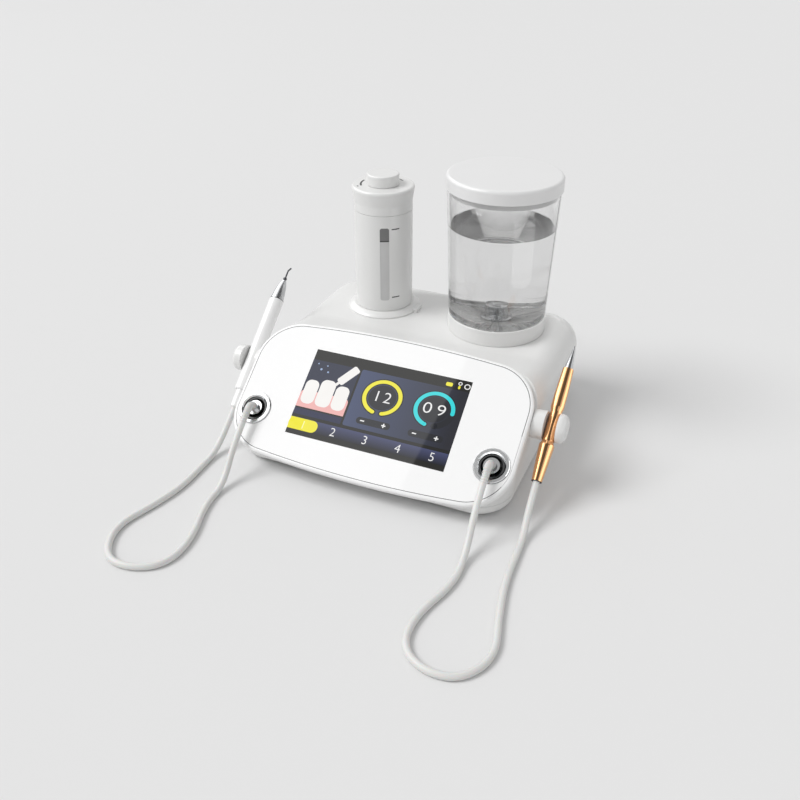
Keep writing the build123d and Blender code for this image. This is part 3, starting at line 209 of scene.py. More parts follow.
class ScalerColours(bpy.types.PropertyGroup):
    """Colours of the scaler's finishes."""

    shell: bpy.props.FloatVectorProperty(
        name="Shell", description="Moulded shells, caps and holders",
        default=linear("#E5E5E4"), subtype="COLOR", size=3, min=0, max=1,
    )
    glass: bpy.props.FloatVectorProperty(
        name="Panel print", description="White print under the panel's glass",
        default=linear("#F7F7F7"), subtype="COLOR", size=3, min=0, max=1,
    )
    scaler: bpy.props.FloatVectorProperty(
        name="Scaler handpiece", description="Anodised sleeve of the ultrasonic handpiece",
        default=linear("#F2BA86"), subtype="COLOR", size=3, min=0, max=1,
    )
    cord: bpy.props.FloatVectorProperty(
        name="Cords", description="Skin of the two handpiece cords",
        default=linear("#DEDEDC"), subtype="COLOR", size=3, min=0, max=1,
    )
    first_gauge: bpy.props.FloatVectorProperty(
        name="First gauge", description="Ring of the screen's first gauge",
        default=linear("#F3EA3C"), subtype="COLOR", size=3, min=0, max=1,
    )
    second_gauge: bpy.props.FloatVectorProperty(
        name="Second gauge", description="Ring of the screen's second gauge",
        default=linear("#35DADF"), subtype="COLOR", size=3, min=0, max=1,
    )


class ScalerContents(bpy.types.PropertyGroup):
    """What the bottle and the chamber hold, and what the screen shows."""

    water_level: bpy.props.FloatProperty(
        name="Water level", description="Height of the water above the table",
        default=0.192, min=0.11, max=0.22, unit="LENGTH",
    )
    powder_level: bpy.props.FloatProperty(
        name="Powder level", description="Height of the powder above the table",
        default=0.166, min=0.1, max=0.18, unit="LENGTH",
    )
    first_reading: bpy.props.IntProperty(
        name="First reading", description="Number in the first gauge", default=12, min=0, max=99,
    )
    second_reading: bpy.props.IntProperty(
        name="Second reading", description="Number in the second gauge", default=9, min=0, max=99,
    )


class ScalerStage(bpy.types.PropertyGroup):
    """Floor and light."""

    floor: bpy.props.FloatVectorProperty(
        name="Floor", description="Colour of the plain floor",
        default=linear("#E4E4E4"), subtype="COLOR", size=3, min=0, max=1,
    )
    sky: bpy.props.FloatProperty(
        name="Ambient light", description="Even light from all round", default=0.6, min=0, max=2,
    )
    key: bpy.props.FloatProperty(
        name="Key light", description="Strength of the soft lamp from the upper left",
        default=1.66, min=0, max=10,
    )
    softbox: bpy.props.FloatProperty(
        name="Softbox", description="Brightness of the panel of light that glossy surfaces show",
        default=1.5, min=0, max=10,
    )


def add(material, kind, inputs, **settings):
    """Adds a node with its settings, and each input as a value or as the output that feeds it."""
    node = material.node_tree.nodes.new("ShaderNode" + kind)
    for name, value in settings.items():
        setattr(node, name, value)
    for name, value in inputs.items():
        if isinstance(value, bpy.types.NodeSocket):
            material.node_tree.links.new(value, node.inputs[name])
        else:
            node.inputs[name].default_value = value
    return node


def surface(name, colour, roughness, sockets=None):
    """A material with one surface shader, whose other sockets are given by their own names."""
    material = bpy.data.materials.new(name)
    material.use_nodes = True
    shader = material.node_tree.nodes["Principled BSDF"]
    shader.inputs["Base Color"].default_value = (*colour, 1)
    shader.inputs["Roughness"].default_value = roughness
    for socket, value in (sockets or {}).items():
        shader.inputs[socket].default_value = value
    return material


def feed(material, socket, output):
    """Links an output to one of the surface shader's sockets."""
    shader = material.node_tree.nodes["Principled BSDF"]
    material.node_tree.links.new(output, shader.inputs[socket])


def cloud(material, size, detail=2.0):
    """A soft random pattern whose patches have the given size in metres."""
    place = add(material, "TexCoord", {})
    noise = add(
        material, "TexNoise",
        {"Vector": place.outputs["Object"], "Scale": 1 / size, "Detail": detail},
    )
    return noise.outputs["Fac"]


def drift(material, pale, deep, size, socket="Base Color"):
    """Lets a colour drift between two near tones."""
    tones = add(
        material, "Mix", {0: cloud(material, size), 6: (*pale, 1), 7: (*deep, 1)}, data_type="RGBA"
    )
    feed(material, socket, tones.outputs[2])


def fade(material, first, last, direction, low, high):
    """Fades a lit colour to another along a direction, between two places on the screen."""
    place = add(material, "TexCoord", {})
    along = add(
        material, "VectorMath", {0: place.outputs["Object"], 1: direction}, operation="DOT_PRODUCT"
    )
    start = direction.dot(screen_centre)
    share = add(
        material, "MapRange",
        {"Value": along.outputs["Value"], "From Min": start + low * mm,
         "From Max": start + high * mm},
    )
    tones = add(
        material, "Mix", {0: share.outputs["Result"], 6: (*first, 1), 7: (*last, 1)},
        data_type="RGBA",
    )
    feed(material, "Emission Color", tones.outputs[2])


def spread(material, low, high, size, socket="Roughness"):
    """Lets a value vary between two limits."""
    values = add(
        material, "MapRange", {"Value": cloud(material, size), "To Min": low, "To Max": high}
    )
    feed(material, socket, values.outputs["Result"])


def relief(material, height, depth, strength=1.0):
    """Raises the surface by a pattern, at most by the depth in metres."""
    bump = add(material, "Bump", {"Height": height, "Strength": strength, "Distance": depth})
    feed(material, "Normal", bump.outputs["Normal"])


def darker(colour, share):
    """A colour brought down by a share."""
    return [part * (1 - share) for part in colour]


def moulded_abs(name, colour, roughness=0.24):
    """ABS from a polished mould: even and softly glossy, with a faint orange peel in its shine."""
    material = surface(name, colour, roughness, {"IOR": 1.54})
    drift(material, colour, darker(colour, 0.02), 30 * mm)
    relief(material, cloud(material, 1.6 * mm, 1.0), 0.02 * mm, 0.35)
    return material


def printed_glass(colour):
    """Toughened glass printed white behind: flat and mirror-smooth over an even white."""
    material = surface("printed_glass", colour, 0.03, {"IOR": 1.52})
    drift(material, colour, darker(colour, 0.01), 60 * mm)
    spread(material, 0.02, 0.05, 45 * mm)
    return material


def chrome(name, roughness):
    """Chromed brass: a bright mirror that shows the room, slightly hazed by blasting or wiping."""
    colour = linear("#E6E7E8")
    material = surface(name, colour, roughness, {"Metallic": 1.0})
    drift(material, colour, darker(colour, 0.05), 6 * mm)
    spread(material, roughness - 0.02, roughness + 0.04, 3 * mm)
    return material


def dark_plastic():
    """Glass-filled nylon: nearly black and dull, its spark texture coarse enough to show."""
    colour = linear("#1D1E20")
    material = surface("dark_nylon", colour, 0.38, {"IOR": 1.53})
    drift(material, colour, linear("#26272A"), 4 * mm)
    relief(material, cloud(material, 0.5 * mm), 0.03 * mm)
    return material


def grey_plastic():
    """Moulded polypropylene: mid grey and matt, its mould texture coarse enough to show."""
    colour = linear("#8C8E90")
    material = surface("grey_polypropylene", colour, 0.42, {"IOR": 1.49})
    drift(material, colour, linear("#828486"), 8 * mm)
    relief(material, cloud(material, 0.6 * mm), 0.03 * mm)
    return material


def streaks(material, pitch):
    """Polishing streaks round the handpieces' axis, wider than the real ones so that they show."""
    place = add(material, "TexCoord", {})
    mapping = add(
        material, "Mapping",
        {"Vector": place.outputs["Object"], "Rotation": (-hand_slope, 0, 0),
         "Scale": (0.04, 1, 0.04)},
    )
    noise = add(
        material, "TexNoise",
        {"Vector": mapping.outputs["Vector"], "Scale": 1 / pitch, "Detail": 1.0},
    )
    return noise.outputs["Fac"]


def anodised_aluminium(colour):
    """Turned aluminium, polished and anodised gold: bright streaks over deep bronze reflections."""
    material = surface("anodised_aluminium", colour, 0.1, {"Metallic": 1.0})
    drift(material, colour, darker(colour, 0.08), 12 * mm)
    marks = streaks(material, 0.5 * mm)
    relief(material, marks, 0.002 * mm, 0.2)
    spread(material, 0.08, 0.13, 5 * mm)
    return material


def turned_steel(name, tone, roughness):
    """Stainless steel from the lathe, with fine streaks that stretch its highlights."""
    colour = linear(tone)
    material = surface(name, colour, roughness, {"Metallic": 1.0})
    drift(material, colour, darker(colour, 0.12), 5 * mm)
    relief(material, streaks(material, 0.5 * mm), 0.003 * mm, 0.3)
    return material


def brass():
    """Drawn brass pins and inserts, slightly tarnished."""
    colour = linear("#C9A45C")
    material = surface("brass", colour, 0.28, {"Metallic": 1.0})
    drift(material, colour, linear("#A88442"), 2 * mm)
    return material


def silicone(name, colour, roughness=0.42):
    """Silicone skin: soft and slightly translucent, with a satin grip and small flow marks."""
    material = surface(name, colour, roughness, {"IOR": 1.41, "Subsurface Weight": 0.15,
                                                "Subsurface Scale": 0.8 * mm})
    drift(material, colour, darker(colour, 0.06), 14 * mm)
    relief(material, cloud(material, 0.7 * mm), 0.03 * mm, 0.5)
    return material


def black_rubber():
    """Nitrile rubber: black, dull and a little dusty."""
    colour = linear("#17171A")
    material = surface("black_nitrile", colour, 0.65, {"IOR": 1.52})
    drift(material, colour, linear("#242428"), 5 * mm)
    relief(material, cloud(material, 0.5 * mm), 0.04 * mm)
    return material


def through_light(material, share):
    """Lets lamp light pass a clear wall, whose shadow would otherwise be as dark as a solid's."""
    tree = material.node_tree
    shader = tree.nodes["Principled BSDF"]
    path = add(material, "LightPath", {})
    amount = add(
        material, "Math", {0: path.outputs["Is Shadow Ray"], 1: share}, operation="MULTIPLY"
    )
    clear = add(material, "BsdfTransparent", {})
    mixed = add(
        material, "MixShader",
        {0: amount.outputs[0], 1: shader.outputs["BSDF"], 2: clear.outputs["BSDF"]},
    )
    tree.links.new(mixed.outputs["Shader"], tree.nodes["Material Output"].inputs["Surface"])


def clear_plastic(name, tone, roughness=0.0):
    """Clear plastic: smooth walls that bend what is behind them and carry thin bright edges."""
    material = surface(
        name, linear(tone), roughness, {"IOR": 1.49, "Transmission Weight": 1.0}
    )
    spread(material, roughness, roughness + 0.02, 25 * mm)
    through_light(material, 0.96)
    return material


def frosted_window(level):
    """Frosted polycarbonate: pale where powder lies behind it; above the powder a dark line and a
    darker grey are painted shade for the dim empty chamber behind it.
    """
    colour = linear("#DADADA")
    material = surface(
        "frosted_polycarbonate", colour, 0.12, {"IOR": 1.58, "Transmission Weight": 0.15}
    )
    place = add(material, "TexCoord", {})
    parts = add(material, "SeparateXYZ", {"Vector": place.outputs["Object"]})
    patches = cloud(material, 9 * mm)
    tone = add(
        material, "Mix", {0: patches, 6: (*colour, 1), 7: (*darker(colour, 0.08), 1)},
        data_type="RGBA",
    ).outputs[2]
    # Painted shade: a dark line at the powder's top, then a mid grey above it that stands in for
    # the chamber's shaded empty inside.
    for start, code in ((level, "#3E3F40"), (level + line_height, "#7C7C7C")):
        share = add(
            material, "MapRange",
            {"Value": parts.outputs["Z"], "From Min": start, "From Max": start + line_edge},
        )
        tone = add(
            material, "Mix", {0: share.outputs["Result"], 6: tone, 7: (*linear(code), 1)},
            data_type="RGBA",
        ).outputs[2]
    feed(material, "Base Color", tone)
    through_light(material, 0.7)
    return material


def water():
    """Water: clear, bending light less than its bottle, and slightly grey in this depth."""
    material = surface("water", linear("#F7F7F7"), 0.0, {"IOR": 1.333, "Transmission Weight": 1.0})
    drift(material, linear("#F7F7F7"), linear("#F2F2F2"), 40 * mm)
    through_light(material, 0.95)
    return material


def powder():
    """Glycine powder: a matt off-white heap with fine clumps."""
    colour = linear("#C9C9C7")
    material = surface("glycine_powder", colour, 0.95)
    drift(material, colour, linear("#BDBDBA"), 3 * mm)
    relief(material, cloud(material, 0.8 * mm, 4.0), 0.3 * mm)
    return material


def circuit_board():
    """Solder-masked glass-fibre board: green, with a darker net of copper tracks under the mask."""
    colour = linear("#1F6B45")
    material = surface("circuit_board", colour, 0.35, {"IOR": 1.55})
    place = add(material, "TexCoord", {})
    # Cells of about 8 mm
    tracks = add(
        material, "TexBrick",
        {"Vector": place.outputs["Object"], "Color1": (*colour, 1),
         "Color2": (*linear("#25784E"), 1), "Mortar": (*linear("#175438"), 1), "Scale": 120.0,
         "Mortar Size": 0.03},
    )
    feed(material, "Base Color", tracks.outputs["Color"])
    relief(material, tracks.outputs["Fac"], 0.03 * mm)
    return material


def ink(name, tone):
    """Pad-printed ink: a flat matt mark with slightly uneven cover."""
    colour = linear(tone)
    material = surface(name, colour, 0.5)
    drift(material, colour, darker(colour, 0.25), 1.5 * mm)
    return material


def lit_pixels(name, colour, level=1.0):
    """A lit part of the display behind glass: its own light, under a clear mirror-smooth face."""
    material = surface(
        name, (0.004, 0.004, 0.004), 0.03,
        {"IOR": 1.52, "Emission Strength": level, "Emission Color": (*colour, 1)},
    )
    drift(material, colour, darker(colour, 0.1), 22 * mm, "Emission Color")
    return material


def finished(name, bm, material, body, sharp=35):
    """Makes a bmesh one finished piece: doubles merged, faces outward, riding on its body."""
    bmesh.ops.remove_doubles(bm, verts=bm.verts, dist=0.001 * mm)
    bmesh.ops.recalc_face_normals(bm, faces=bm.faces)
    mesh = bpy.data.meshes.new(name)
    bm.to_mesh(mesh)
    bm.free()
    return placed(name, mesh, material, body, sharp)


def placed(name, mesh, material, body, sharp=35):
    """Gives a mesh its object, finish, body and smooth shading up to the sharp angle."""
    mesh.materials.clear()
    mesh.materials.append(material)
    mesh.shade_smooth()
    mesh.set_sharp_from_angle(angle=radians(sharp))
    piece = bpy.data.objects.new(name, mesh)
    bpy.context.scene.collection.objects.link(piece)
    if body:
        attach(piece, body)
    return piece


def turned(bm, outline, matrix, closed=True, angle=2 * pi, steps=96):
    """Turns an outline of radii and heights about a seat's z axis, in millimetres."""
    rim = [bm.verts.new((radius * mm, 0, height * mm)) for radius, height in outline]
    pairs = list(zip(rim, rim[1:])) + ([(rim[-1], rim[0])] if closed else [])
    edges = [bm.edges.new(pair) for pair in pairs]
    full = angle == 2 * pi
    made = bmesh.ops.spin(
        bm, geom=rim + edges, cent=(0, 0, 0), axis=(0, 0, 1), angle=angle, steps=steps,
        use_merge=full, use_duplicate=False,
    )
    if not full:
        last = [item for item in made["geom_last"] if isinstance(item, bmesh.types.BMEdge)]
        bmesh.ops.contextual_create(bm, geom=edges)
        bmesh.ops.contextual_create(bm, geom=last)
    fresh = [vert for vert in bm.verts if not vert.tag]
    bmesh.ops.transform(bm, matrix=matrix, verts=fresh)
    for vert in fresh:
        vert.tag = True


def dress(nodes, material):
    """Gives CAD nodes their finish."""
    for name in nodes:
        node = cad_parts[name]
        if not node.material_slots:
            node.data.materials.append(material)
        for slot in node.material_slots:
            slot.material = material


class SCALER_OT_camera(bpy.types.Operator):
    """Set the camera at the photograph's viewing angle"""

    bl_idname = "scaler.camera"
    bl_label = "Camera"

    def execute(self, context):
        data = bpy.data.cameras.new("camera")
        data.lens = camera_lens
        data.sensor_width = camera_sensor
        data.clip_start = nearest_seen
        camera = bpy.data.objects.new("camera", data)
        camera.location = camera_place
        camera.rotation_euler = (camera_pitch, 0, camera_turn)
        context.scene.collection.objects.link(camera)
        context.scene.camera = camera
        return {"FINISHED"}


def cord_curve(name, route):
    """A smooth open spline with the route's points as its control points."""
    curve = bpy.data.curves.new(name, "CURVE")
    curve.dimensions = "3D"
    curve.resolution_u = 10
    curve.twist_mode = "MINIMUM"
    spline = curve.splines.new("NURBS")
    spline.points.add(len(route) - 1)
    for point, place in zip(spline.points, route):
        point.co = (*place, 1)
    spline.order_u = 3
    spline.use_endpoint_u = True
    return curve


def curve_mesh(curve):
    """The mesh of a curve as it stands."""
    holder = bpy.data.objects.new("route", curve)
    bpy.context.scene.collection.objects.link(holder)
    bpy.context.view_layer.update()
    mesh = bpy.data.meshes.new_from_object(holder)
    bpy.data.objects.remove(holder)
    return mesh


def strain_relief(name, material):
    """A ribbed elbow from the plug's nipple, tapering down onto the cord."""
    bm = bmesh.new()
    bmesh.ops.create_circle(bm, cap_ends=False, segments=40, radius=boot_radius)
    swept = bmesh.ops.spin(
        bm, geom=bm.verts[:] + bm.edges[:], cent=(0, -boot_bend, 0), axis=(1, 0, 0),
        angle=pi / 2, steps=14, use_duplicate=False,
    )
    edge_loop = [item for item in swept["geom_last"] if isinstance(item, bmesh.types.BMEdge)]
    centre = Vector((0, -boot_bend, boot_bend))
    rows = [(boot_neck, 1.0)]
    for rib in range(boot_ribs):
        size = 1.0 - boot_taper * (rib + 1) / boot_ribs
        groove = groove_share * size
        rows += [(0.15 * rib_pitch, groove), (0.3 * rib_pitch, groove),
                 (0.15 * rib_pitch, size), (0.4 * rib_pitch, 0.99 * size)]
    radius = boot_radius
    for step, share in rows:
        made = bmesh.ops.extrude_edge_only(bm, edges=edge_loop)["geom"]
        verts = [item for item in made if isinstance(item, bmesh.types.BMVert)]
        edge_loop = [item for item in made if isinstance(item, bmesh.types.BMEdge)]
        scale = boot_radius * share / radius
        bmesh.ops.translate(bm, verts=verts, vec=(0, -step, 0))
        centre.y -= step
        bmesh.ops.scale(
            bm, verts=verts, vec=(scale, 1, scale), space=Matrix.Translation(-centre)
        )
        radius *= scale
    bmesh.ops.holes_fill(bm, edges=bm.edges[:], sides=64)
    port = panel_seat.inverted() @ middle("port_ring_" + name)
    origin = panel_seat @ Vector((port.x, port.y, nipple_top))
    bmesh.ops.transform(bm, matrix=seat(origin, Vector((1, 0, 0)), panel_out), verts=bm.verts)
    piece = finished("strain_relief_" + name, bm, material, "console", 60)
    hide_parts("cord_boot_" + name)
    return piece


class SCALER_OT_cords(bpy.types.Operator):
    """Lay the two handpiece cords and their strain reliefs"""

    bl_idname = "scaler.cords"
    bl_label = "Cords"

    def execute(self, context):
        colours = context.scene.scaler_colours
        skin = silicone("cord_silicone", colours.cord)
        boot_skin = silicone("relief_silicone", linear("#D2D2D0"), 0.35)
        for side, name in ((-1, "left"), (1, "right")):
            route = cord_routes[name]
            curve = cord_curve("handpiece_cord_" + name, route)
            path = [tuple(vert.co) for vert in curve_mesh(curve).vertices]
            curve.bevel_depth = cord_diameter / 2
            curve.bevel_resolution = 7
            curve.use_fill_caps = True
            cord = placed("handpiece_cord_" + name, curve_mesh(curve), skin, None, 60)
            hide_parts("cord_" + name)
            boot = strain_relief(name, boot_skin)
            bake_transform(cord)
        return {"FINISHED"}


def valve_spring(material):
    """The bottle valve's spring: a merged copy of the frame's node, riding on the bottle."""
    bm = bmesh.new()
    bm.from_mesh(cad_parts["valve_spring"].data)
    spring = finished("valve_coil", bm, material, "water_bottle")
    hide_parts("valve_spring")
    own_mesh(spring)


class SCALER_OT_finishes(bpy.types.Operator):
    """Give the frame's own parts their materials"""

    bl_idname = "scaler.finishes"
    bl_label = "Finishes"

    def execute(self, context):
        colours = context.scene.scaler_colours
        dress(
            ["upper_housing", "lower_housing", "holder_left", "holder_right", "powder_seat",
             "powder_chamber", "powder_cap", "pressure_knob", "bottle_collar", "water_seat"],
            moulded_abs("moulded_abs", colours.shell),
        )
        dress(["bottle_cap"], moulded_abs("cap_abs", linear("#E5E5E5"), 0.34))
        dress(["front_bezel"], moulded_abs("bezel_abs", linear("#F6F6F6"), 0.12))
        dress(
            ["polisher_body", "polisher_tail"],
            moulded_abs("autoclave_resin", linear("#F4F4F4"), 0.2),
        )
        dress(["cover_glass"], printed_glass(colours.glass))
        dress(["port_ring_left", "port_ring_right"], chrome("satin_chrome", 0.12))
        dress(["cord_plug_left", "cord_plug_right"], chrome("bright_chrome", 0.07))
        dress(
            ["port_socket_left", "port_socket_right", "display_module", "pedal_socket",
             "power_inlet", "switch_frame", "power_switch", "air_inlet"],
            dark_plastic(),
        )
        dress(["rear_plate", "water_pump", "pump_rotor", "air_regulator"], grey_plastic())
        dress(["scaler_body"], anodised_aluminium(colours.scaler))
        dress(["scaler_nose", "scaler_tip"], turned_steel("turned_steel", "#D5D6D8", 0.16))
        dress(["polisher_cone", "scaler_transducer"], turned_steel("satin_steel", "#C8C9CB", 0.24))
        dress(["polisher_nozzle"], turned_steel("nozzle_steel", "#55565A", 0.22))
        zinc = turned_steel("zinc_plated_steel", "#B4B6B8", 0.32)
        dress(
            ["display_bracket", "housing_screws", "m3_screws", "holder_screws", "power_supply",
             "valve_plunger"],
            zinc,
        )
        valve_spring(zinc)
        dress(["solenoid_valves", "driver_transformer"], brass())
        dress(["main_board", "ultrasonic_board"], circuit_board())
        dress(["rubber_feet", "powder_seal"], black_rubber())
        dress(["bottle_seal", "cap_gasket"], silicone("grey_silicone", linear("#BDBEC0")))
        dress(["water_bottle"], clear_plastic("clear_polycarbonate", "#F9F9F9"))
        dress(["bottle_valve"], clear_plastic("natural_polypropylene", "#E9EAEB", 0.18))
        dress(["powder_window"], frosted_window(context.scene.scaler_contents.powder_level))
        return {"FINISHED"}


def glass_seal(material):
    """A dark bead of adhesive in the gap round the glass, which is also painted shade for the gap's
    shadow, drawn from the glass's own outline.
    """
    bm = bmesh.new()
    bm.from_mesh(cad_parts["cover_glass"].data)
    bmesh.ops.transform(bm, matrix=panel_seat.inverted(), verts=bm.verts)
    bmesh.ops.remove_doubles(bm, verts=bm.verts, dist=0.001 * mm)
    bmesh.ops.bisect_plane(
        bm, geom=bm.verts[:] + bm.edges[:] + bm.faces[:], plane_co=(0, 0, -gap_shade_depth),
        plane_no=(0, 0, 1), clear_inner=True, clear_outer=True,
    )
    ports = [panel_seat.inverted() @ middle("port_ring_" + name) for name in ("left", "right")]
    inside = [
        vert for vert in bm.verts
        if any((vert.co.xy - port.xy).length < port_clearance for port in ports)
    ]
    bmesh.ops.delete(bm, geom=inside, context="VERTS")
    reach = max(vert.co.x for vert in bm.verts)
    rise = max(vert.co.y for vert in bm.verts)
    scale = (1 - gap_shade_cover / reach, 1 - gap_shade_cover / rise, 1)
    bmesh.ops.scale(bm, verts=bm.verts, vec=scale)
    made = bmesh.ops.extrude_edge_only(bm, edges=bm.edges[:])["geom"]
    outer = [item for item in made if isinstance(item, bmesh.types.BMVert)]
    scale = (1 + (gap_shade_width + gap_shade_cover) / reach, 1 + (gap_shade_width + gap_shade_cover) / rise, 1)
    bmesh.ops.scale(bm, verts=outer, vec=scale)
    bmesh.ops.translate(bm, verts=bm.verts, vec=(0, 0, gap_shade_depth - gap_shade_sink))
    made = bmesh.ops.extrude_face_region(bm, geom=bm.faces[:], use_keep_orig=True)["geom"]
    low = [item for item in made if isinstance(item, bmesh.types.BMVert)]
    bmesh.ops.translate(bm, verts=low, vec=(0, 0, -gap_shade_depth))
    bmesh.ops.transform(bm, matrix=panel_seat, verts=bm.verts)
    finished("glass_seal", bm, material, "console")


def printed_band(bm, inner, outer, low, high, start, angle, steps):
    """A thin band of ink about the chamber's axis, in millimetres and degrees."""
    band = [(inner, low), (outer, low), (outer, high), (inner, high)]
    matrix = chamber_seat @ Matrix.Rotation(radians(start), 4, "Z")
    turned(bm, band, matrix, angle=radians(angle), steps=steps)


def seam(name, material):
    """The dark line where a handpiece's parts meet, as a thin ring about its axis."""
    origin = middle("holder_" + name)
    origin.x = cord_routes[name][-1][0]
    inner, outer, low, high = seams[name]
    bm = bmesh.new()
    turned(
        bm, [(inner, low), (outer, low), (outer, high), (inner, high)],
        seat(origin, Vector((1, 0, 0)), hand_out), steps=48,
    )
    finished("seam_" + name, bm, material, cord_bodies[name])


class SCALER_OT_details(bpy.types.Operator):
    """Add the dark bead of adhesive and painted gap shade round the glass, the handpieces' seams
    and the marks on chamber and cap
    """

    bl_idname = "scaler.details"
    # The seal in this label is the dark bead of adhesive and painted gap shade round the glass.
    bl_label = "Seal, seams and marks"

    def execute(self, context):
        # Painted shade: a dark grey bead that darkens the gap round the glass as its shadow would.
        glass_seal(silicone("gap_shade_adhesive", linear("#47484A"), 0.5))
        dark = ink("mark_ink", "#2A2B2D")
        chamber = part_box("powder_chamber")[1] - chamber_middle
        radius = chamber.x / mm
        bm = bmesh.new()
        for end, margin in zip(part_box("powder_window"), tick_margins):
            height = end.z / mm + margin
            printed_band(
                bm, radius - ink_sink, radius + ink_rise, height - tick_width / 2,
                height + tick_width / 2, tick_start, tick_angle, 12,
            )
        finished("chamber_ticks", bm, dark, "powder_chamber")
        for name in seams:
            seam(name, dark)
        bm = bmesh.new()
        for radius, start, angle, width in cap_marks:
            printed_band(
                bm, radius - width / 2, radius + width / 2, -ink_sink, ink_rise, start, angle, 8
            )
        cap_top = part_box("powder_cap")[1].z
        bmesh.ops.translate(bm, verts=bm.verts, vec=(0, 0, cap_top))
        finished("cap_marks", bm, dark, "powder_cap")
        return {"FINISHED"}


class SCALER_OT_contents(bpy.types.Operator):
    """Fill the bottle with water and the chamber with powder"""

    bl_idname = "scaler.contents"
    bl_label = "Water and powder"

    def execute(self, context):
        contents = context.scene.scaler_contents
        level = contents.water_level / mm
        bottle_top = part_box("water_bottle")[1].z / mm
        slope = (bottle_inner_high - bottle_inner_low) / (bottle_top - bottle_wide_from)
        wall = bottle_inner_low + slope * (level - bottle_wide_from)
        base = bottle_floor - water_overlap
        bm = bmesh.new()
        turned(
            bm,
            [
                (0, base), (bottle_inner_low - bottle_corner, base),
                (bottle_inner_low + water_overlap, bottle_wide_from),
                *((wall + out, level + rise) for out, rise in meniscus), (0, level),
            ],
            bottle_seat, closed=False, steps=128,
        )
        finished("water", bm, water(), "water_bottle")
        level = contents.powder_level / mm
        bm = bmesh.new()
        turned(
            bm,
            [
                (0, chamber_floor), (chamber_inner, chamber_floor), (chamber_inner, level),
                (shoulder_share * chamber_inner, level + heap_shoulder), (0, level + heap_top),
            ],
            chamber_seat, closed=False,
        )
        finished("cleaning_powder", bm, powder(), "powder_chamber")
        return {"FINISHED"}


# Screen: sizes in millimetres from its middle, and its layers from the ground up
screen_width = 154.2
screen_height = 86.1
sheet_depth = 0.3
sheet_step = 0.03
ground_layer, area_layer, well_layer, face_layer, mark_layer, figure_layer = range(6)

# Areas: the middle's x and y, the width, the height and the corners' radius
ground_area = (0, 0, screen_width, screen_height, 0)
picture_area = (-52.9, 8.2, 48.4, 48.6, 0)
caption_area = (-52.9, -20.5, 48.4, 6, 0)
gauge_area = (25.2, 4.6, 103.6, 56.2, 1.8)
row_area = (0, -32.3, screen_width - 0.8, 11.4, 0)
pressed_areas = ((-62.9, -32.4, 29.4, 11.4, 5.4), (-69.6, -32.4, 15, 11.4, 0))
status_areas = ((57.0, 36.6, 6.2, 3.6, 1.2), (66.6, 35.5, 2.0, 3.2, 0.9))
gum_areas = ((-52.9, -7.5, 48.4, 17, 4), (-52.9, -12.5, 48.4, 7, 0))
handle_area = (-37.5, 23.5, 8, 22, 2)
nozzle_area = (-45.2, 13.6, 2.6, 10, 1.2)
instrument_lean = 38

# The picture's teeth as x, width and top, and its drops as x, y and size
teeth = ((-68.5, 13.5, 12), (-53, 15, 15), (-37.5, 13.5, 12))
tooth_foot = -12
tooth_corner = 5.5
drops = ((-66, 24, 2.2), (-61, 28.5, 1.4), (-58.5, 22.5, 1.8), (-70.5, 29, 1.4))
drop_share = 2.2

# Gauges, whose rings run between two clock angles, with a button below each
gauge_places = (1.1, 51.3)
gauge_middle = 10.0
gauge_radius = 17.1
gauge_width = 3.7
gauge_margin = 2.4
gauge_squeeze = 0.91
round_end_share = 0.999
gauge_end = 165
second_gauge_end = 92
gauge_disc = 13.4
button_size = (33, 6.4, 3.1)
button_middle = -15.6
sign_length = 4.0
sign_width = 1.1
minus_shift = -10.6
plus_shift = 10.2

# Rings in the status corner, as x, y, radius and width, and the clock angles they run between
status_rings = ((66.6, 39.2, 1.5, 0.8), (73.6, 37.6, 2.4, 0.9))
status_angles = (2, 358)

# Numerals
reading_height = 10.8
reading_widths = (1.1, 1.25)
row_places = (-32.5, -0.8, 31.0, 63.0)
row_middle = -33.0
row_height = 8.3
pressed_place = -62.5
font_share = 1.38
font_spacing = 1.12
font_thinning = 0.012

# Where the colours fade, from one place to the other
panel_fade = (-30, 72)
row_fade = (-38.5, -27)


def set_down(bm, known, x, y, layer, scale=(1, 1, 1)):
    """Scales and moves the new points, and makes them a plate up to the layer's top."""
    verts = [vert for vert in bm.verts if vert not in known]
    top = (layer + 1) * sheet_step * mm
    bmesh.ops.scale(bm, verts=verts, vec=scale)
    bmesh.ops.translate(bm, verts=verts, vec=(x * mm, y * mm, top))
    faces = [face for face in bm.faces if face.verts[0] not in known]
    made = bmesh.ops.extrude_face_region(bm, geom=faces, use_keep_orig=True)["geom"]
    low = [item for item in made if isinstance(item, bmesh.types.BMVert)]
    bmesh.ops.translate(bm, verts=low, vec=(0, 0, -sheet_depth * mm))


def tile(bm, place, layer, lean=0):
    """A round-cornered plate that fills an area, upright or leaning right."""
    x, y, width, height, corner = place
    known = set(bm.verts)
    bmesh.ops.create_grid(bm, x_segments=1, y_segments=1, size=0.5)
    verts = [vert for vert in bm.verts if vert not in known]
    bmesh.ops.scale(bm, verts=verts, vec=(width * mm, height * mm, 1))
    if corner:
        bmesh.ops.bevel(
            bm, geom=verts, offset=corner * mm, segments=6, profile=0.5, affect="VERTICES",
            material=-1,
        )
    verts = [vert for vert in bm.verts if vert not in known]
    bmesh.ops.rotate(bm, verts=verts, matrix=Matrix.Rotation(-radians(lean), 3, "Z"))
    set_down(bm, known, x, y, layer)


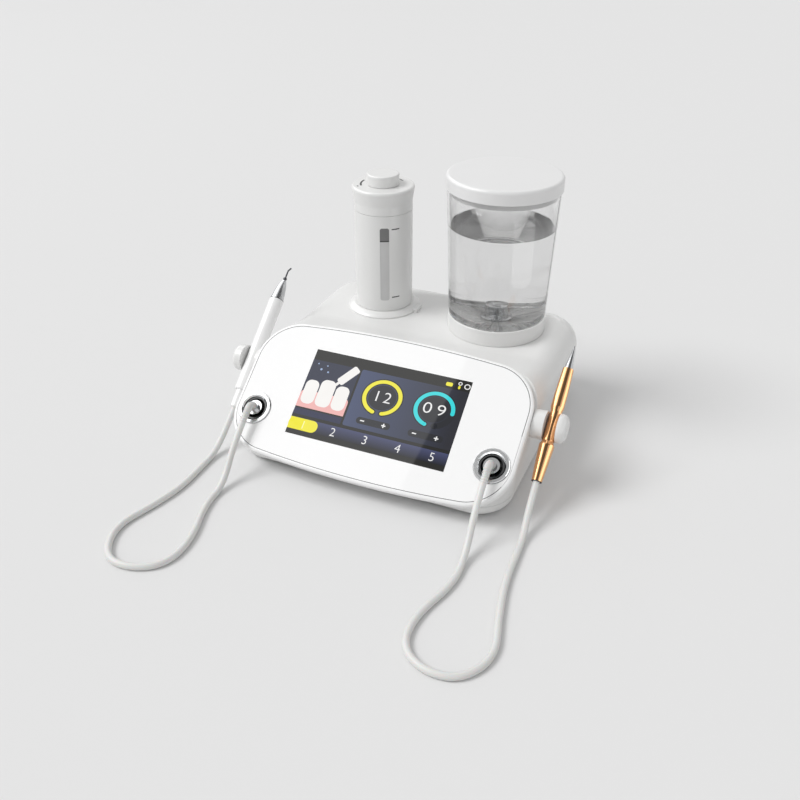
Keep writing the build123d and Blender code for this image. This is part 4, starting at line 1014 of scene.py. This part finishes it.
def gauge(bm, x, y, radius, width, first, last, layer):
    """Part of a ring with round ends, from one clock angle to another, in degrees."""
    known = set(bm.verts)
    start = radians(90 - first)
    rim = [
        bm.verts.new((reach * mm * cos(start), reach * mm * sin(start), 0))
        for reach in (radius - width / 2, radius + width / 2)
    ]
    edge = bm.edges.new(rim)
    bmesh.ops.spin(
        bm, geom=rim + [edge], cent=(0, 0, 0), axis=(0, 0, 1), angle=-radians(last - first),
        steps=72, use_duplicate=False,
    )
    for clock in (first, last):
        angle = radians(90 - clock)
        bmesh.ops.create_circle(
            bm, cap_ends=True, segments=20, radius=width / 2 * mm * round_end_share,
            matrix=Matrix.Translation((radius * mm * cos(angle), radius * mm * sin(angle), 0)),
        )
    set_down(bm, known, x, y, layer, (1, gauge_squeeze, 1))


def disc(bm, x, y, radius, layer):
    """A plain disc, squeezed like the gauges."""
    known = set(bm.verts)
    bmesh.ops.create_circle(bm, cap_ends=True, segments=64, radius=radius * mm)
    set_down(bm, known, x, y, layer, (1, gauge_squeeze, 1))


def digits(bm, number, x, y, height, layer, wide=1.0):
    """Plain numerals, centred on a point."""
    known = set(bm.verts)
    curve = bpy.data.curves.new("digits", "FONT")
    curve.body = number
    curve.size = height * mm * font_share
    curve.space_character = font_spacing * wide
    curve.offset = -font_thinning * height * mm
    curve.align_x = "CENTER"
    curve.align_y = "CENTER"
    bm.from_mesh(curve_mesh(curve))
    set_down(bm, known, x, y, layer, (wide, 1, 1))


def on_screen(name, bm, material):
    """Sets a drawn piece onto the glass."""
    bmesh.ops.transform(bm, matrix=panel_seat, verts=bm.verts)
    finished(name, bm, material, "console")


def tiles(name, material, places, layer):
    """A piece of the screen that is made of tiles on one layer."""
    bm = bmesh.new()
    for place in places:
        tile(bm, place, layer)
    on_screen(name, bm, material)


def tooth_picture():
    """The picture: three teeth in a gum with an instrument beside them, in plain shapes."""
    navy = lit_pixels("pixels_navy", linear("#2C3145"))
    tiles("screen_tile", navy, [picture_area], area_layer)
    tiles("screen_gum", lit_pixels("pixels_pink", linear("#F2B9B6")), gum_areas, well_layer)
    bm = bmesh.new()
    for x, width, top in teeth:
        place = (x, (top + tooth_foot) / 2, width, top - tooth_foot, tooth_corner)
        tile(bm, place, face_layer)
    tile(bm, handle_area, mark_layer, instrument_lean)
    tile(bm, nozzle_area, figure_layer, instrument_lean)
    on_screen("screen_teeth", bm, lit_pixels("pixels_ivory", linear("#F7F5F2")))
    places = [(x, y, size, size, size / drop_share) for x, y, size in drops]
    pale = lit_pixels("pixels_pale_blue", linear("#9FB4D8"))
    tiles("screen_drops", pale, places, well_layer)


class SCALER_OT_screen(bpy.types.Operator):
    """Draw the screen's picture"""

    bl_idname = "scaler.screen"
    bl_label = "Screen"

    def execute(self, context):
        colours = context.scene.scaler_colours
        contents = context.scene.scaler_contents
        charcoal = lit_pixels("pixels_charcoal", linear("#1D1D1B"))
        tiles("screen_ground", charcoal, [ground_area], ground_layer)
        tooth_picture()
        slate = lit_pixels("pixels_slate", linear("#454F6E"))
        fade(slate, linear("#454F6E"), linear("#26272F"), Vector((1, 0, 0)), *panel_fade)
        tiles("screen_panel", slate, [gauge_area], area_layer)
        caption = lit_pixels("pixels_caption", linear("#262B4A"))
        tiles("screen_caption", caption, [caption_area], area_layer)
        row = lit_pixels("pixels_row", linear("#43486A"))
        fade(row, linear("#131419"), linear("#43486A"), panel_up, *row_fade)
        tiles("screen_row", row, [row_area], area_layer)
        bm = bmesh.new()
        for x in gauge_places:
            width = gauge_width + gauge_margin
            gauge(bm, x, gauge_middle, gauge_radius, width, -gauge_end, gauge_end, well_layer)
            disc(bm, x, gauge_middle, gauge_disc, face_layer)
            tile(bm, (x, button_middle, *button_size), well_layer)
        on_screen("screen_wells", bm, lit_pixels("pixels_ash", linear("#24262C")))
        ring = (gauge_middle, gauge_radius, gauge_width, -gauge_end)
        bm = bmesh.new()
        gauge(bm, gauge_places[0], *ring, gauge_end, mark_layer)
        for place in (*pressed_areas, *status_areas):
            tile(bm, place, face_layer)
        on_screen("screen_first_gauge", bm, lit_pixels("pixels_yellow", colours.first_gauge))
        bm = bmesh.new()
        gauge(bm, gauge_places[1], *ring, second_gauge_end, mark_layer)
        on_screen("screen_second_gauge", bm, lit_pixels("pixels_cyan", colours.second_gauge))
        bm = bmesh.new()
        readings = (contents.first_reading, contents.second_reading)
        for x, reading, wide in zip(gauge_places, readings, reading_widths):
            digits(bm, f"{reading:02d}", x, gauge_middle, reading_height, figure_layer, wide)
        for x in gauge_places:
            for shift in (minus_shift, plus_shift):
                tile(bm, (x + shift, button_middle, sign_length, sign_width, 0), face_layer)
            tile(bm, (x + plus_shift, button_middle, sign_width, sign_length, 0), mark_layer)
        for number, x in enumerate(row_places, 2):
            digits(bm, str(number), x, row_middle, row_height, face_layer)
        for x, y, radius, width in status_rings:
            gauge(bm, x, y, radius, width, *status_angles, face_layer)
        on_screen("screen_figures", bm, lit_pixels("pixels_white", linear("#F4F4F4")))
        bm = bmesh.new()
        digits(bm, "1", pressed_place, row_middle, row_height, mark_layer)
        on_screen("screen_pressed", bm, lit_pixels("pixels_cream", linear("#FBFBB8")))
        return {"FINISHED"}


def middle_tone(colour):
    """The mean of a colour's parts."""
    return sum(colour) / 3


def studio_world(sky, backdrop):
    """A plain world: the backdrop's tone to camera, gloss and glass, and the sky's to the rest."""
    world = bpy.data.worlds.new("studio")
    world.use_nodes = True
    path = add(world, "LightPath", {})
    seen = path.outputs["Is Camera Ray"]
    for kind in ("Is Glossy Ray", "Is Transmission Ray"):
        seen = add(world, "Math", {0: seen, 1: path.outputs[kind]}, operation="MAXIMUM").outputs[0]
    level = add(world, "MapRange", {"Value": seen, "To Min": sky, "To Max": backdrop})
    background = world.node_tree.nodes["Background"]
    background.inputs["Color"].default_value = (1, 1, 1, 1)
    world.node_tree.links.new(level.outputs["Result"], background.inputs["Strength"])
    return world


def card(name, matrix, size, level):
    """A plain card beside the object that only glossy surfaces show."""
    bm = bmesh.new()
    bmesh.ops.create_grid(bm, x_segments=1, y_segments=1, size=0.5)
    bmesh.ops.scale(bm, verts=bm.verts, vec=(*size, 1))
    bmesh.ops.transform(bm, matrix=matrix, verts=bm.verts)
    mesh = bpy.data.meshes.new(name)
    bm.to_mesh(mesh)
    bm.free()
    mesh.materials.append(
        surface(name, (0, 0, 0), 1.0, {"Emission Color": (1, 1, 1, 1), "Emission Strength": level})
    )
    piece = bpy.data.objects.new(name, mesh)
    piece.visible_camera = False
    piece.visible_diffuse = False
    piece.visible_transmission = False
    piece.visible_shadow = False
    bpy.context.scene.collection.objects.link(piece)


class SCALER_OT_stage(bpy.types.Operator):
    """Set the plain floor and the soft light"""

    bl_idname = "scaler.stage"
    bl_label = "Stage"

    def execute(self, context):
        settings = context.scene.scaler_stage
        bm = bmesh.new()
        bmesh.ops.create_circle(bm, cap_ends=True, segments=64, radius=floor_radius)
        mesh = bpy.data.meshes.new("floor")
        bm.to_mesh(mesh)
        bm.free()
        material = surface("studio_floor", settings.floor, 0.9, {"Specular IOR Level": 0.1})
        mesh.materials.append(material)
        floor = bpy.data.objects.new("floor", mesh)
        context.scene.collection.objects.link(floor)
        context.scene.world = studio_world(settings.sky, middle_tone(settings.floor))
        upward = Vector((0, 0, 1))
        across = Vector((*card_run, 0)).cross(upward)
        for name, (place, width), level in (
            ("softbox", softbox_card, settings.softbox),
            ("window", window_card, window_share * settings.softbox),
            ("soffit", soffit_card, soffit_level),
            ("ceiling", ceiling_card, ceiling_level),
        ):
            matrix = seat(Vector((*place, card_height)), across, upward)
            card(name, matrix, (width, card_length), level)
        rise = Vector((0, cos(side_card_tilt), sin(side_card_tilt)))
        matrix = seat(Vector(side_card_place), rise, Vector((-1, 0, 0)))
        card("side_card", matrix, side_card_size, side_card_level)
        lamp = bpy.data.lights.new("key_light", "SUN")
        lamp.energy = settings.key
        lamp.angle = key_angle
        key = bpy.data.objects.new("key_light", lamp)
        key.rotation_euler = (key_pitch, key_turn, 0)
        context.scene.collection.objects.link(key)
        context.scene.view_settings.view_transform = "Standard"
        return {"FINISHED"}


operators = [
    SCALER_OT_camera, SCALER_OT_cords, SCALER_OT_finishes, SCALER_OT_details,
    SCALER_OT_contents, SCALER_OT_screen, SCALER_OT_stage,
]


class SCALER_PT_looks(bpy.types.Panel):
    """The scaler's pieces, colours and contents"""

    bl_idname = "SCALER_PT_looks"
    bl_label = "Dental scaler"
    bl_space_type = "VIEW_3D"
    bl_region_type = "UI"
    bl_category = "Scaler"

    def draw(self, context):
        for settings in (
            context.scene.scaler_colours, context.scene.scaler_contents, context.scene.scaler_stage
        ):
            for name in settings.__annotations__:
                self.layout.prop(settings, name)
        for operator in operators:
            self.layout.operator(operator.bl_idname)


groups = {
    "scaler_colours": ScalerColours,
    "scaler_contents": ScalerContents,
    "scaler_stage": ScalerStage,
}


def register():
    """Registers the settings, the operators and the panel."""
    for name, group in groups.items():
        bpy.utils.register_class(group)
        setattr(bpy.types.Scene, name, bpy.props.PointerProperty(type=group))
    for item in [*operators, SCALER_PT_looks]:
        bpy.utils.register_class(item)


def unregister():
    """Takes back what register() added."""
    for item in [SCALER_PT_looks, *reversed(operators)]:
        bpy.utils.unregister_class(item)
    for name, group in groups.items():
        delattr(bpy.types.Scene, name)
        bpy.utils.unregister_class(group)


def main():
    """Makes every piece in order."""
    register()
    bpy.ops.scaler.camera()
    bpy.ops.scaler.cords()
    bpy.ops.scaler.finishes()
    bpy.ops.scaler.details()
    bpy.ops.scaler.contents()
    bpy.ops.scaler.screen()
    bpy.ops.scaler.stage()


if __name__ == "__main__":
    main()
